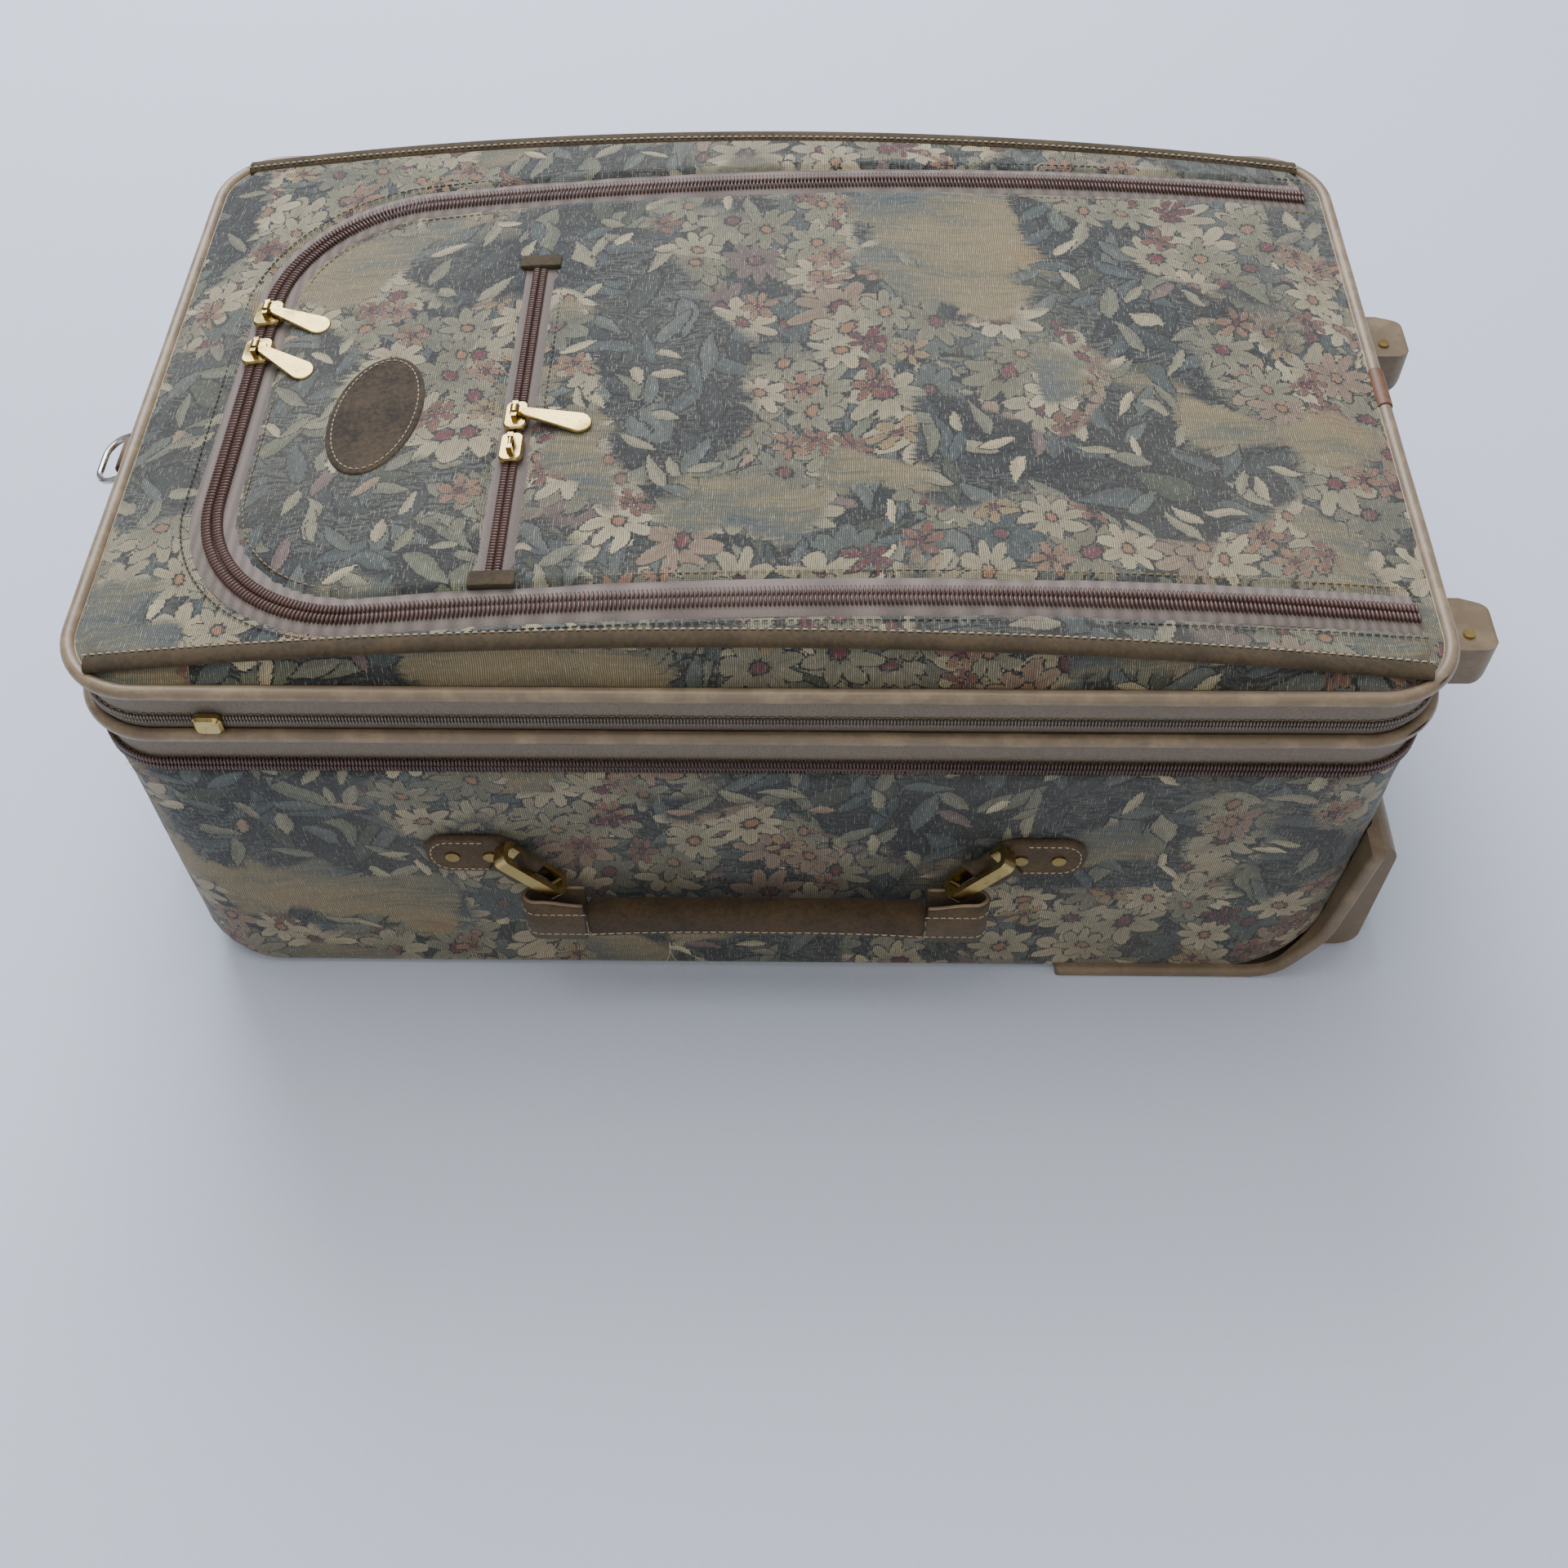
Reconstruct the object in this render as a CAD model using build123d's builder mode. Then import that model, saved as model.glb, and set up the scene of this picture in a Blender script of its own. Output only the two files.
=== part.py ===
from build123d import *
import os
from math import asin, cos, degrees, radians, sin, sqrt

os.makedirs("parts", exist_ok=True)

# A soft carry-on suitcase lying on its back. X runs from the top end (trolley handle) to the
# wheel end, Y from the side with the carry handle to the hinge side, Z from the back panel up
# to the front pocket. The origin is the middle of the back panel's outer face.

# Case body
case_length = 560.0
case_width = 356.0
body_height = 161.0
wall = 3.0
plan_radius = 32.0
top_end_radius = 22.0
wheel_end_radius = 42.0
back_edge_radius = 6.0

# Lining and the boards behind it
lining_gap = 0.4
lining_thickness = 0.8
lining_floor = 20.6
lining_height = 152.0
board_thickness = 2.4
board_gap = 0.2

# Bands, zips and pipings of the lid, from the case's rim upwards
tape_thickness = 1.8
tape_inset = 1.2
zip_line = 166.0
zip_line_gap = 0.15
main_coil_height = 4.45
coil_proud = 0.6
rim_seat = 0.05
zip_open_side = 34.0
lid_tape_height = 18.0
piping_radius = 3.0
front_piping_radius = 3.1
piping_sides = 12
piping_proud = 1.0
piping_seat = 0.15
flange_thickness = 2.0
expansion_line = 195.0
expansion_coil_height = 2.2
expansion_coil_proud = 0.5
expansion_tape_height = 16.2
expansion_travel = 38.0
gusset_thickness = 1.2
gusset_gap = 1.4
gusset_low = 154.0
gusset_high = 205.0

# Hinge of the lid, at the side away from the carry handle
hinge_strip_height = 16.0
hinge_strip_thickness = 0.8
hinge_strip_gap = 0.3

# Front panel, bowed along the case by what its pocket holds
panel_inset = 2.4
panel_thickness = 2.4
crown_rise = 19.2
panel_edge_height = 0.9
gusset_lean = 14.0
lid_lining_thickness = 1.2
lid_lining_z = 197.6
lid_lining_gap = 0.2
binding_outer_y = 171.0
binding_width = 8.5
binding_thickness = 1.5
binding_end = 268.0
layer_gap = 0.05

# Zip of the large front pocket: a U lying on its side, open towards the wheel end
pocket_x_turn = -232.5
pocket_x_end = 268.0
pocket_far_turn = 117.0
pocket_far_end = 142.0
pocket_near_turn = -154.0
pocket_near_end = -138.0
pocket_turn_radius = 72.0
front_tape_width = 21.0
front_tape_thickness = 0.6
front_coil_width = 10.6
front_coil_height = 1.9

# Zip of the small pocket, across the case, and the oval patch
small_zip_x = -106.0
small_tape_width = 18.0
small_coil_width = 7.0
small_zip_low = -139.0
small_zip_high = 71.0
end_tab_length = 8.0
end_tab_width = 19.0
end_tab_thickness = 1.4
patch_x = -169.5
patch_y = -34.0
patch_width = 42.0
patch_length = 76.0
patch_thickness = 1.4
patch_turn = -5.0

# Zip sliders and their pulls
slider_length = 17.0
slider_side = 1.3
slider_plate = 2.0
slider_chamfer = 0.7
slider_clearance = 0.3
slider_pin_radius = 1.0
slider_pin_height = 2.2
slider_ear = 2.4
pull_length = 34.0
pull_width = 11.5
pull_thickness = 1.8
pull_chamfer = 0.45
pull_knuckle_radius = 2.1
pull_knuckle_length = 4.4
pull_pin_clearance = 0.08
pull_tilt = 8.5
pull_neck = 2.6
pocket_slider_a_y = 41.0
pocket_slider_a_skew = -23.0
pocket_slider_b_y = 14.0
pocket_slider_b_skew = -33.0
small_slider_a_y = -41.0
small_slider_a_skew = -10.0
small_slider_b_y = -61.0
main_slider_y = 16.0
expansion_slider_x = -222.0
expansion_slider_length = 12.0
expansion_slider_width = 10.0
expansion_slider_height = 3.4
expansion_slider_chamfer = 1.2

# Corner guards with the wheel housings, and the wheels
guard_strip_width = 6.5
guard_strip_proud = 4.5
guard_strip_start = 144.0
guard_strip_top = 107.0
guard_skin = 2.0
guard_skin_gap = 0.3
guard_inner_y = 107.0
housing_outer_y = 163.0
housing_inner_y = 112.0
housing_depth = 36.0
housing_reach = 14.0
housing_height = 84.0
housing_inner_height = 62.0
housing_bottom = 1.5
wheel_radius = 25.0
wheel_width = 20.0
wheel_x = 279.0
wheel_z = 27.0
wheel_side_gap = 3.0
wheel_well_gap = 4.0
wheel_bore_clearance = 0.06
wheel_rim_chamfer = 2.0
axle_radius = 3.0
axle_end_inset = 1.0
hub_radius = 11.0
hub_recess = 1.5

# Feet at the wheel end, just under the lid's zip
foot_spacing = 196.0
foot_shift = 1.5
foot_width = 31.0
foot_reach = 46.0
foot_low = 143.0
foot_high = 166.0
foot_slant = 4.5
foot_slant_length = 13.0
foot_corner_radius = 8.0
foot_rim_clearance = 1.0
foot_rim_step = 3.0
foot_screw_x = 33.0
foot_screw_inset = 9.0
screw_head_radius = 2.6
screw_head_height = 1.2

# Trolley handle: two channels behind the lining, two tubes and a grip
trolley_y = 91.0
channel_width = 22.0
channel_height = 13.0
channel_wall = 1.2
channel_end_x = 238.0
tube_width = 18.6
tube_height = 9.6
tube_wall = 1.0
tube_length = 490.0
tube_hole_clearance = 0.1
bezel_half_width = 112.0
bezel_proud = 6.0
bezel_depth = 22.0
bezel_low = 3.4
bezel_high = 30.0
bezel_gap = 0.3
finger_half_width = 44.0
finger_depth = 6.5
finger_floor = 4.0
grip_gap = 1.0
grip_depth = 18.0
grip_height = 20.0
grip_half_width = 104.0
grip_radius = 6.0
button_length = 30.0
button_width = 9.0
button_depth = 7.0
button_proud = 1.6
button_travel = 3.0
button_clearance = 0.25

# Carry handles, one on the side and the same again on the top end
handle_pivot_z = 101.0
handle_pivot_out = 9.0
handle_middle = -2.0
top_handle_shorter = 28.0
handle_drop = 35.0
handle_out = 12.0
handle_grip_length = 155.0
handle_grip_height = 22.0
handle_grip_thickness = 13.0
handle_tab_start = 105.5
handle_tab_length = 43.0
handle_tab_width = 26.0
handle_tab_thickness = 2.4
handle_seat_gap = 0.3
ring_length = 38.0
ring_width = 12.0
ring_wall = 2.75
ring_band = 6.5
ring_start = 100.5
ring_tilt = 40.0
ring_drop = 2.0
strap_wide = 24.0
strap_thick = 5.4
strap_fold = 4.5
strap_ring_gap = 0.35
strap_grip_gap = 0.4
strap_block_start = 105.0
strap_block_low = 57.0
strap_block_back = 6.0
strap_block_front = 19.5
chape_start = 115.3
chape_high = 110.0
chape_low = 92.0
chape_foot = 104.0
chape_foot_z = 85.5
rivet_radius = 3.2
rivet_height = 1.2
rivet_shank = 1.6
rivet_clearance = 0.05
rivet_spacing = 17.0
rivet_first = 119.0

# D-ring on the top end, and the sleeve on the front piping
ring_tab_y = -34.0
ring_tab_width = 18.0
ring_tab_thickness = 2.0
ring_tab_z = 205.0
ring_tab_out = 7.6
d_wire_radius = 1.5
d_wire_sides = 10
d_ring_width = 31.0
d_ring_depth = 15.0
d_knuckle_radius = 3.4
d_bore_clearance = 0.08
sleeve_y = 2.6
sleeve_length = 24.0
sleeve_wall = 0.8
sleeve_gap = 0.1

# Straps that hold the packing down
strap_width = 25.0
strap_thickness = 1.2
strap_x = 95.0
strap_half_length = 166.0
buckle_length = 42.0
buckle_width = 34.0
buckle_height = 7.0
strap_seat = 0.1

# Places worked out from the sizes above
half_length = case_length / 2
half_width = case_width / 2
lid_tape_low = zip_line + zip_line_gap
piping_z = lid_tape_low + lid_tape_height + piping_radius - 0.8
expansion_tape_low = piping_z + 2.2
front_tape_top = expansion_line + zip_line_gap + expansion_tape_height
front_piping_z = front_tape_top + front_piping_radius - 0.9
panel_base = front_piping_z + flange_thickness / 2 + piping_seat
crown_end_z = panel_base + panel_edge_height
crown_top_z = crown_end_z + crown_rise
crown_half = half_length - panel_inset
crown_radius = (crown_half**2 + crown_rise**2) / (2 * crown_rise)
crown_centre_z = crown_top_z - crown_radius
wheel_y = (housing_outer_y + housing_inner_y) / 2
channel_z = wall + board_gap + board_thickness + channel_height / 2 + 0.1
tube_start_x = -half_length - bezel_proud - grip_gap - grip_depth + 5.0
grip_outer_x = -half_length - bezel_proud - grip_gap - grip_depth


def save(name, piece):
    """Names one finished piece and writes it."""
    piece.label = name
    export_step(piece, "parts/" + name + ".step")


def tub_face(half_span, floor, top, low_radius, high_radius):
    """A tub seen from the side: open straight top, floor with a round corner at each end."""
    with BuildLine() as outline:
        corners = [(-half_span, top), (-half_span, floor), (half_span, floor), (half_span, top)]
        FilletPolyline(*corners, radius=[low_radius, high_radius])
        Line((half_span, top), (-half_span, top))
    make_face(outline.edges())


def case_form(inset, floor, top):
    """The outside of the case drawn in by inset, from floor to top."""
    with BuildPart() as form:
        with BuildSketch(Plane.XY.offset(floor)):
            RectangleRounded(case_length - 2 * inset, case_width - 2 * inset, plan_radius - inset)
        extrude(amount=top - floor)
        with BuildSketch(Plane.XZ):
            tub_face(half_length - inset, floor, top, top_end_radius - inset, wheel_end_radius - inset)
        extrude(amount=case_width, both=True, mode=Mode.INTERSECT)
        with BuildSketch(Plane.YZ):
            edge_radius = max(back_edge_radius - inset, 1.0)
            tub_face(half_width - inset, floor, top, edge_radius, edge_radius)
        extrude(amount=case_length, both=True, mode=Mode.INTERSECT)
    return form.part


def ring_sketch(outer_inset, inner_inset):
    """The case's plan outline as a ring between two insets."""
    RectangleRounded(
        case_length - 2 * outer_inset, case_width - 2 * outer_inset, plan_radius - outer_inset
    )
    RectangleRounded(
        case_length - 2 * inner_inset,
        case_width - 2 * inner_inset,
        plan_radius - inner_inset,
        mode=Mode.SUBTRACT,
    )


def band(outer_inset, inner_inset, low, high):
    """Adds a band round the case between two heights to the part being built."""
    with BuildSketch(Plane.XY.offset(low)) as plan:
        ring_sketch(outer_inset, inner_inset)
    extrude(plan.sketch, amount=high - low)


def crown_z(x):
    """Height of the front panel's surface at x."""
    return crown_centre_z + sqrt(crown_radius**2 - x**2)


def crown_face(base, lift):
    """The bowed panel seen from the side, from base up to its surface raised by lift."""
    with BuildLine() as outline:
        ends = crown_end_z + lift
        ThreePointArc((-crown_half, ends), (0, crown_top_z + lift), (crown_half, ends))
        Polyline((crown_half, ends), (crown_half, base), (-crown_half, base), (-crown_half, ends))
    make_face(outline.edges())


def crown_layer(low_lift, high_lift):
    """A sheet that follows the front panel between two heights above its surface."""
    with BuildPart() as layer:
        with BuildSketch(Plane.XZ):
            crown_face(panel_base, high_lift)
            with BuildLine():
                low_end = crown_end_z + low_lift
                low_top = crown_top_z + low_lift
                ThreePointArc((-crown_half, low_end), (0, low_top), (crown_half, low_end))
                Polyline(
                    (crown_half, low_end),
                    (crown_half, panel_base),
                    (-crown_half, panel_base),
                    (-crown_half, low_end),
                )
            make_face(mode=Mode.SUBTRACT)
        extrude(amount=half_width, both=True)
    return layer.part


def panel_form(inset, lift, drop):
    """The front panel's outer form drawn in by inset, its surface raised by lift, its foot dropped."""
    floor = panel_base - drop
    total = panel_inset + inset
    with BuildPart() as form:
        with BuildSketch(Plane.XY.offset(floor)):
            RectangleRounded(case_length - 2 * total, case_width - 2 * total, plan_radius - total)
        extrude(amount=crown_top_z - floor + 3.0, taper=gusset_lean)
        with BuildSketch(Plane.XZ):
            crown_face(floor - 10.0, lift)
        extrude(amount=case_width, both=True, mode=Mode.INTERSECT)
    return form.part


def pocket_ribbon(half, height):
    """A ribbon along the large pocket's zip, standing up through the front panel."""
    with BuildPart() as ribbon:
        with BuildSketch(Plane.XY.offset(panel_base)):
            for grow, mode in ((half, Mode.ADD), (-half, Mode.SUBTRACT)):
                with BuildLine():
                    FilletPolyline(
                        (pocket_x_end, pocket_far_end + grow),
                        (pocket_x_turn - grow, pocket_far_turn + grow),
                        (pocket_x_turn - grow, pocket_near_turn - grow),
                        (pocket_x_end, pocket_near_end - grow),
                        radius=pocket_turn_radius + grow,
                    )
                    Line(
                        (pocket_x_end, pocket_near_end - grow),
                        (pocket_x_end, pocket_far_end + grow),
                    )
                make_face(mode=mode)
        extrude(amount=height)
    return ribbon.part


def piping_ring(radius, height):
    """One round piping with the flange that is sewn between the bands."""
    with BuildSketch(Plane.XY.offset(height)) as route:
        RectangleRounded(
            case_length + 2 * piping_proud, case_width + 2 * piping_proud, plan_radius + piping_proud
        )
    path = route.sketch.faces()[0].outer_wire()
    with BuildPart() as ring:
        with BuildSketch(path ^ 0):
            RegularPolygon(radius, piping_sides)
        sweep(path=path)
        low = height - flange_thickness / 2
        band(0, tape_inset + tape_thickness, low, height + flange_thickness / 2)
    return ring.part


def mirrored(piece):
    """The same piece on the other side of the case's middle."""
    return piece.mirror(Plane.XZ)


def box(low, high, mode=Mode.ADD):
    """A box between two corners, in the part being built."""
    size = Vector(*high) - Vector(*low)
    with Locations((Vector(*low) + Vector(*high)) / 2):
        Box(size.X, size.Y, size.Z, mode=mode)


def crown_place(x, y, lift):
    """A place on the front panel raised by lift: X stays along the case, Z leaves the panel."""
    lean = degrees(asin(x / crown_radius))
    return Location((x, y, crown_z(x) + lift), (0, lean, 0))


# Corner guards: a skin let into the shell, the bead along its edge and the wheel housing


def guard_path(grow):
    """The guard's edge on the side of the case, moved towards the corner by grow."""
    return [
        (guard_strip_start, guard_strip_width / 2 - 0.5 - grow),
        (half_length - 30.0 + grow, guard_strip_width / 2 - 0.5 - grow),
        (half_length - 12.0 + grow, 36.0 - grow / 2),
        (half_length - 5.0 + grow, guard_strip_top),
    ]


def guard_zone(grow):
    """The room of the skin: everything on the corner's side of the edge, grown by grow."""
    with BuildPart() as zone:
        with BuildSketch(Plane.XZ.offset(guard_inner_y - grow)):
            with BuildLine():
                edge = FilletPolyline(*guard_path(-grow), radius=[20.0, 60.0])
                Polyline(
                    edge @ 1,
                    (half_length + 20.0, guard_strip_top + grow),
                    (half_length + 20.0, -5.0),
                    (guard_strip_start - grow, -5.0),
                    edge @ 0,
                )
            make_face()
        extrude(amount=half_width)
    return zone.part


with BuildPart() as housing:
    with BuildSketch(Plane.XZ.offset(housing_inner_y)):
        with BuildLine():
            FilletPolyline(
                (half_length - housing_depth, housing_bottom),
                (half_length + housing_reach, housing_bottom),
                (half_length + housing_reach, housing_height),
                (half_length - 1.0, housing_height + 8.0),
                (half_length - 1.0, housing_inner_height),
                (half_length - housing_depth, housing_inner_height),
                radius=[0, 10.0, 12.0, 0, 0, 10.0],
                close=True,
            )
        make_face()
    extrude(amount=housing_outer_y - housing_inner_y)

with BuildPart() as wheel_well:
    with BuildSketch(Plane.XZ.offset(wheel_y)):
        with Locations((wheel_x, wheel_z)):
            Circle(wheel_radius + wheel_well_gap)
        with Locations((wheel_x + 50.0, wheel_z - 25.0 + (wheel_radius + wheel_well_gap) / 2)):
            Rectangle(100.0, wheel_radius + wheel_well_gap + 50.0)
    extrude(amount=wheel_width / 2 + wheel_side_gap, both=True)

with BuildPart() as bead:
    with BuildSketch(Plane.XZ.offset(half_width - 20.0)):
        with BuildLine():
            FilletPolyline(*guard_path(0), radius=[20.0, 60.0])
        trace(line_width=guard_strip_width)
    extrude(amount=20.0 + guard_strip_proud)
    outer = faces().sort_by(Axis.Y)[0]
    fillet(outer.edges(), radius=guard_strip_width / 2 - 0.6)
    add(case_form(0, 0, body_height), mode=Mode.SUBTRACT)

guard_core = case_form(guard_skin, guard_skin, body_height + 1)
with BuildPart() as corner_guard_near:
    add(case_form(0, 0, body_height))
    add(guard_core, mode=Mode.SUBTRACT)
    add(guard_zone(0), mode=Mode.INTERSECT)
    add(bead.part)
    add(housing.part)
    add(wheel_well.part, mode=Mode.SUBTRACT)
    with BuildSketch(Plane.XZ.offset(housing_inner_y + axle_end_inset)):
        with Locations((wheel_x, wheel_z)):
            Circle(axle_radius)
    extrude(amount=housing_outer_y - housing_inner_y - 2 * axle_end_inset, mode=Mode.SUBTRACT)

save("corner_guard_near", corner_guard_near.part)
save("corner_guard_far", mirrored(corner_guard_near.part))

with BuildPart() as wheel_axles:
    for side in (1, -1):
        with BuildSketch(Plane.XZ.offset(side * wheel_y)):
            with Locations((wheel_x, wheel_z)):
                Circle(axle_radius)
        extrude(amount=(housing_outer_y - housing_inner_y) / 2 - axle_end_inset, both=True)

with BuildPart() as wheel_near:
    with BuildSketch(Plane.XZ.offset(wheel_y)):
        with Locations((wheel_x, wheel_z)):
            Circle(wheel_radius)
            Circle(axle_radius + wheel_bore_clearance, mode=Mode.SUBTRACT)
    extrude(amount=wheel_width / 2, both=True)
    rims = edges().filter_by(GeomType.CIRCLE).group_by(SortBy.RADIUS)[-1]
    chamfer(rims, length=wheel_rim_chamfer)
    for face_y in (wheel_y - wheel_width / 2, wheel_y + wheel_width / 2 - hub_recess):
        with BuildSketch(Plane.XZ.offset(face_y)):
            with Locations((wheel_x, wheel_z)):
                Circle(hub_radius + 5.0)
                Circle(hub_radius - 4.0, mode=Mode.SUBTRACT)
        extrude(amount=hub_recess, mode=Mode.SUBTRACT)

save("wheel_axles", wheel_axles.part)
save("wheel_near", wheel_near.part)
save("wheel_far", mirrored(wheel_near.part))

# Case shell, cut for the guards, the housings and the bezel of the trolley handle

bezel_inner_x = -half_length + bezel_depth
housing_x = half_length - housing_depth
skin_room = case_form(-1, -1, body_height) - case_form(
    guard_skin + guard_skin_gap, guard_skin + guard_skin_gap, body_height + 1
)
near_room = skin_room & guard_zone(guard_skin_gap)
with BuildPart() as case_shell:
    add(case_form(0, 0, body_height))
    add(case_form(wall, wall, body_height + 1), mode=Mode.SUBTRACT)
    for room in (near_room, mirrored(near_room)):
        add(room, mode=Mode.SUBTRACT)
    for side in (-1, 1):
        near, far = sorted((side * (housing_inner_y - 1), side * (housing_outer_y + 1)))
        box(
            (housing_x - 1, near, -1),
            (half_length + 20, far, housing_inner_height + 1),
            mode=Mode.SUBTRACT,
        )
    box(
        (-half_length - 20, -bezel_half_width - bezel_gap, bezel_low - bezel_gap),
        (bezel_inner_x + bezel_gap, bezel_half_width + bezel_gap, bezel_high + bezel_gap),
        mode=Mode.SUBTRACT,
    )

save("case_shell", case_shell.part)

# Lining of the main room, humped over the wheel housings and the bezel


def lining_form(inset, floor, top):
    """The main room drawn in by inset, with the humps cut out of it."""
    with BuildPart() as form:
        add(case_form(inset, floor, top))
        spare = inset - wall + 1.5
        for side in (-1, 1):
            near, far = sorted((side * (housing_inner_y - spare), side * half_width))
            box(
                (housing_x - spare, near, 0),
                (half_length, far, housing_inner_height + spare),
                mode=Mode.SUBTRACT,
            )
        box(
            (-half_length, -bezel_half_width - spare, 0),
            (bezel_inner_x + spare, bezel_half_width + spare, bezel_high + spare),
            mode=Mode.SUBTRACT,
        )
    return form.part


lining_inset = wall + lining_gap
with BuildPart() as case_lining:
    add(lining_form(lining_inset, lining_floor, lining_height))
    add(
        lining_form(
            lining_inset + lining_thickness, lining_floor + lining_thickness, lining_height + 1
        ),
        mode=Mode.SUBTRACT,
    )

save("case_lining", case_lining.part)

with BuildPart() as back_board:
    with BuildSketch(Plane.XY.offset(wall + board_gap)):
        with Locations(((bezel_inner_x + housing_x) / 2, 0)):
            RectangleRounded(housing_x - bezel_inner_x - 8.0, case_width - 24.0, 12.0)
    extrude(amount=board_thickness)

save("back_board", back_board.part)

strap_z = lining_floor + lining_thickness + strap_seat
with BuildPart() as packing_straps:
    for side in (-1, 1):
        with BuildSketch(Plane.XY.offset(strap_z)):
            with Locations((side * strap_x, 0)):
                Rectangle(strap_width, 2 * strap_half_length)
        extrude(amount=strap_thickness)
        with BuildSketch(Plane.XY.offset(strap_z)):
            with Locations((side * strap_x, 0)):
                RectangleRounded(buckle_width, buckle_length, 6.0)
        extrude(amount=buckle_height)

save("packing_straps", packing_straps.part)

# Trolley handle


def tube_profile(across, up):
    """The flat-sided section of the tubes, at the near channel, drawn on the YZ plane."""
    with Locations((-trolley_y, channel_z)):
        RectangleRounded(across, up, 2.5)


with BuildPart() as trolley_channel_near:
    with BuildSketch(Plane.YZ.offset(bezel_inner_x + 0.1)):
        tube_profile(channel_width, channel_height)
    extrude(amount=channel_end_x - bezel_inner_x)
    with BuildSketch(Plane.YZ.offset(bezel_inner_x + 0.1)):
        tube_profile(channel_width - 2 * channel_wall, channel_height - 2 * channel_wall)
    extrude(amount=channel_end_x - bezel_inner_x - 2.0, mode=Mode.SUBTRACT)

save("trolley_channel_near", trolley_channel_near.part)
save("trolley_channel_far", mirrored(trolley_channel_near.part))

with BuildPart() as trolley_tube_near:
    with BuildSketch(Plane.YZ.offset(tube_start_x)):
        tube_profile(tube_width, tube_height)
    extrude(amount=tube_length)
    with BuildSketch(Plane.YZ.offset(tube_start_x)):
        tube_profile(tube_width - 2 * tube_wall, tube_height - 2 * tube_wall)
    extrude(amount=tube_length, mode=Mode.SUBTRACT)

save("trolley_tube_near", trolley_tube_near.part)
save("trolley_tube_far", mirrored(trolley_tube_near.part))

with BuildPart() as tube_room:
    with BuildSketch(Plane.YZ.offset(-half_length - 20.0)):
        tube_profile(tube_width + 2 * tube_hole_clearance, tube_height + 2 * tube_hole_clearance)
    extrude(amount=60.0)

with BuildPart() as trolley_bezel:
    box(
        (-half_length - bezel_proud, -bezel_half_width, bezel_low),
        (bezel_inner_x, bezel_half_width, bezel_high),
    )
    fillet(faces().sort_by(Axis.X)[0].edges(), radius=3.0)
    box(
        (-half_length - bezel_proud - 1, -finger_half_width, finger_floor + bezel_low),
        (-half_length - bezel_proud + finger_depth, finger_half_width, bezel_high + 1),
        mode=Mode.SUBTRACT,
    )
    add(tube_room.part, mode=Mode.SUBTRACT)
    add(mirrored(tube_room.part), mode=Mode.SUBTRACT)

save("trolley_bezel", trolley_bezel.part)

grip_inner_x = grip_outer_x + grip_depth
with BuildPart() as trolley_grip:
    box(
        (grip_outer_x, -grip_half_width, channel_z - grip_height / 2),
        (grip_inner_x, grip_half_width, channel_z + grip_height / 2),
    )
    fillet(edges().filter_by(Axis.Y), radius=grip_radius)
    fillet(faces().filter_by(Axis.Y).edges(), radius=1.5)
    for side in (-1, 1):
        with BuildSketch(Plane.YZ.offset(tube_start_x)):
            with Locations((side * trolley_y, channel_z)):
                RectangleRounded(tube_width, tube_height, 2.5)
        extrude(amount=grip_depth, mode=Mode.SUBTRACT)
    box(
        (
            grip_outer_x - 1,
            -button_length / 2 - button_clearance,
            channel_z - button_width / 2 - button_clearance,
        ),
        (
            grip_outer_x + button_depth - button_proud + button_travel + 0.2,
            button_length / 2 + button_clearance,
            channel_z + button_width / 2 + button_clearance,
        ),
        mode=Mode.SUBTRACT,
    )

with BuildPart() as trolley_button:
    box(
        (grip_outer_x - button_proud, -button_length / 2, channel_z - button_width / 2),
        (grip_outer_x - button_proud + button_depth, button_length / 2, channel_z + button_width / 2),
    )
    fillet(faces().sort_by(Axis.X)[0].edges(), radius=1.0)

save("trolley_grip", trolley_grip.part)
save("trolley_button", trolley_button.part)

# Zips, bands and pipings of the lid


def open_side(low, high):
    """Takes a band away at the hinge side, where the zip stops."""
    box(
        (-half_length - 10, half_width - zip_open_side, low - 1),
        (half_length + 10, half_width + 10, high + 1),
        mode=Mode.SUBTRACT,
    )


tape_inner = tape_inset + tape_thickness
with BuildPart() as main_zip_case:
    band(tape_inset, tape_inner, body_height + rim_seat, zip_line - zip_line_gap)
    band(-coil_proud, tape_inset, zip_line - zip_line_gap - main_coil_height, zip_line - zip_line_gap)
    open_side(body_height, zip_line)

lid_tape_top = lid_tape_low + lid_tape_height
with BuildPart() as main_zip_lid:
    band(-coil_proud, tape_inset, lid_tape_low, lid_tape_low + main_coil_height)
    open_side(lid_tape_low, lid_tape_low + main_coil_height)
    band(tape_inset, tape_inner, lid_tape_low, lid_tape_top)

save("main_zip_case", main_zip_case.part)
save("main_zip_lid", main_zip_lid.part)

strip_y = half_width - wall - hinge_strip_gap
strip_low = zip_line - hinge_strip_height / 2
with BuildPart() as hinge_strip:
    box(
        (-half_length + zip_open_side, strip_y - hinge_strip_thickness, strip_low),
        (half_length - zip_open_side, strip_y, strip_low + hinge_strip_height),
    )

save("hinge_strip", hinge_strip.part)
save("piping_lower", piping_ring(piping_radius, piping_z))
save("piping_upper", piping_ring(front_piping_radius, front_piping_z))

expansion_low_top = expansion_line - zip_line_gap
with BuildPart() as expansion_zip_lower:
    band(tape_inset, tape_inner, expansion_tape_low, expansion_low_top)
    band(
        -expansion_coil_proud, tape_inset, expansion_low_top - expansion_coil_height, expansion_low_top
    )

expansion_high_low = expansion_line + zip_line_gap
with BuildPart() as expansion_zip_upper:
    band(tape_inset, tape_inner, expansion_high_low, front_tape_top)
    band(
        -expansion_coil_proud, tape_inset, expansion_high_low, expansion_high_low + expansion_coil_height
    )

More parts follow.
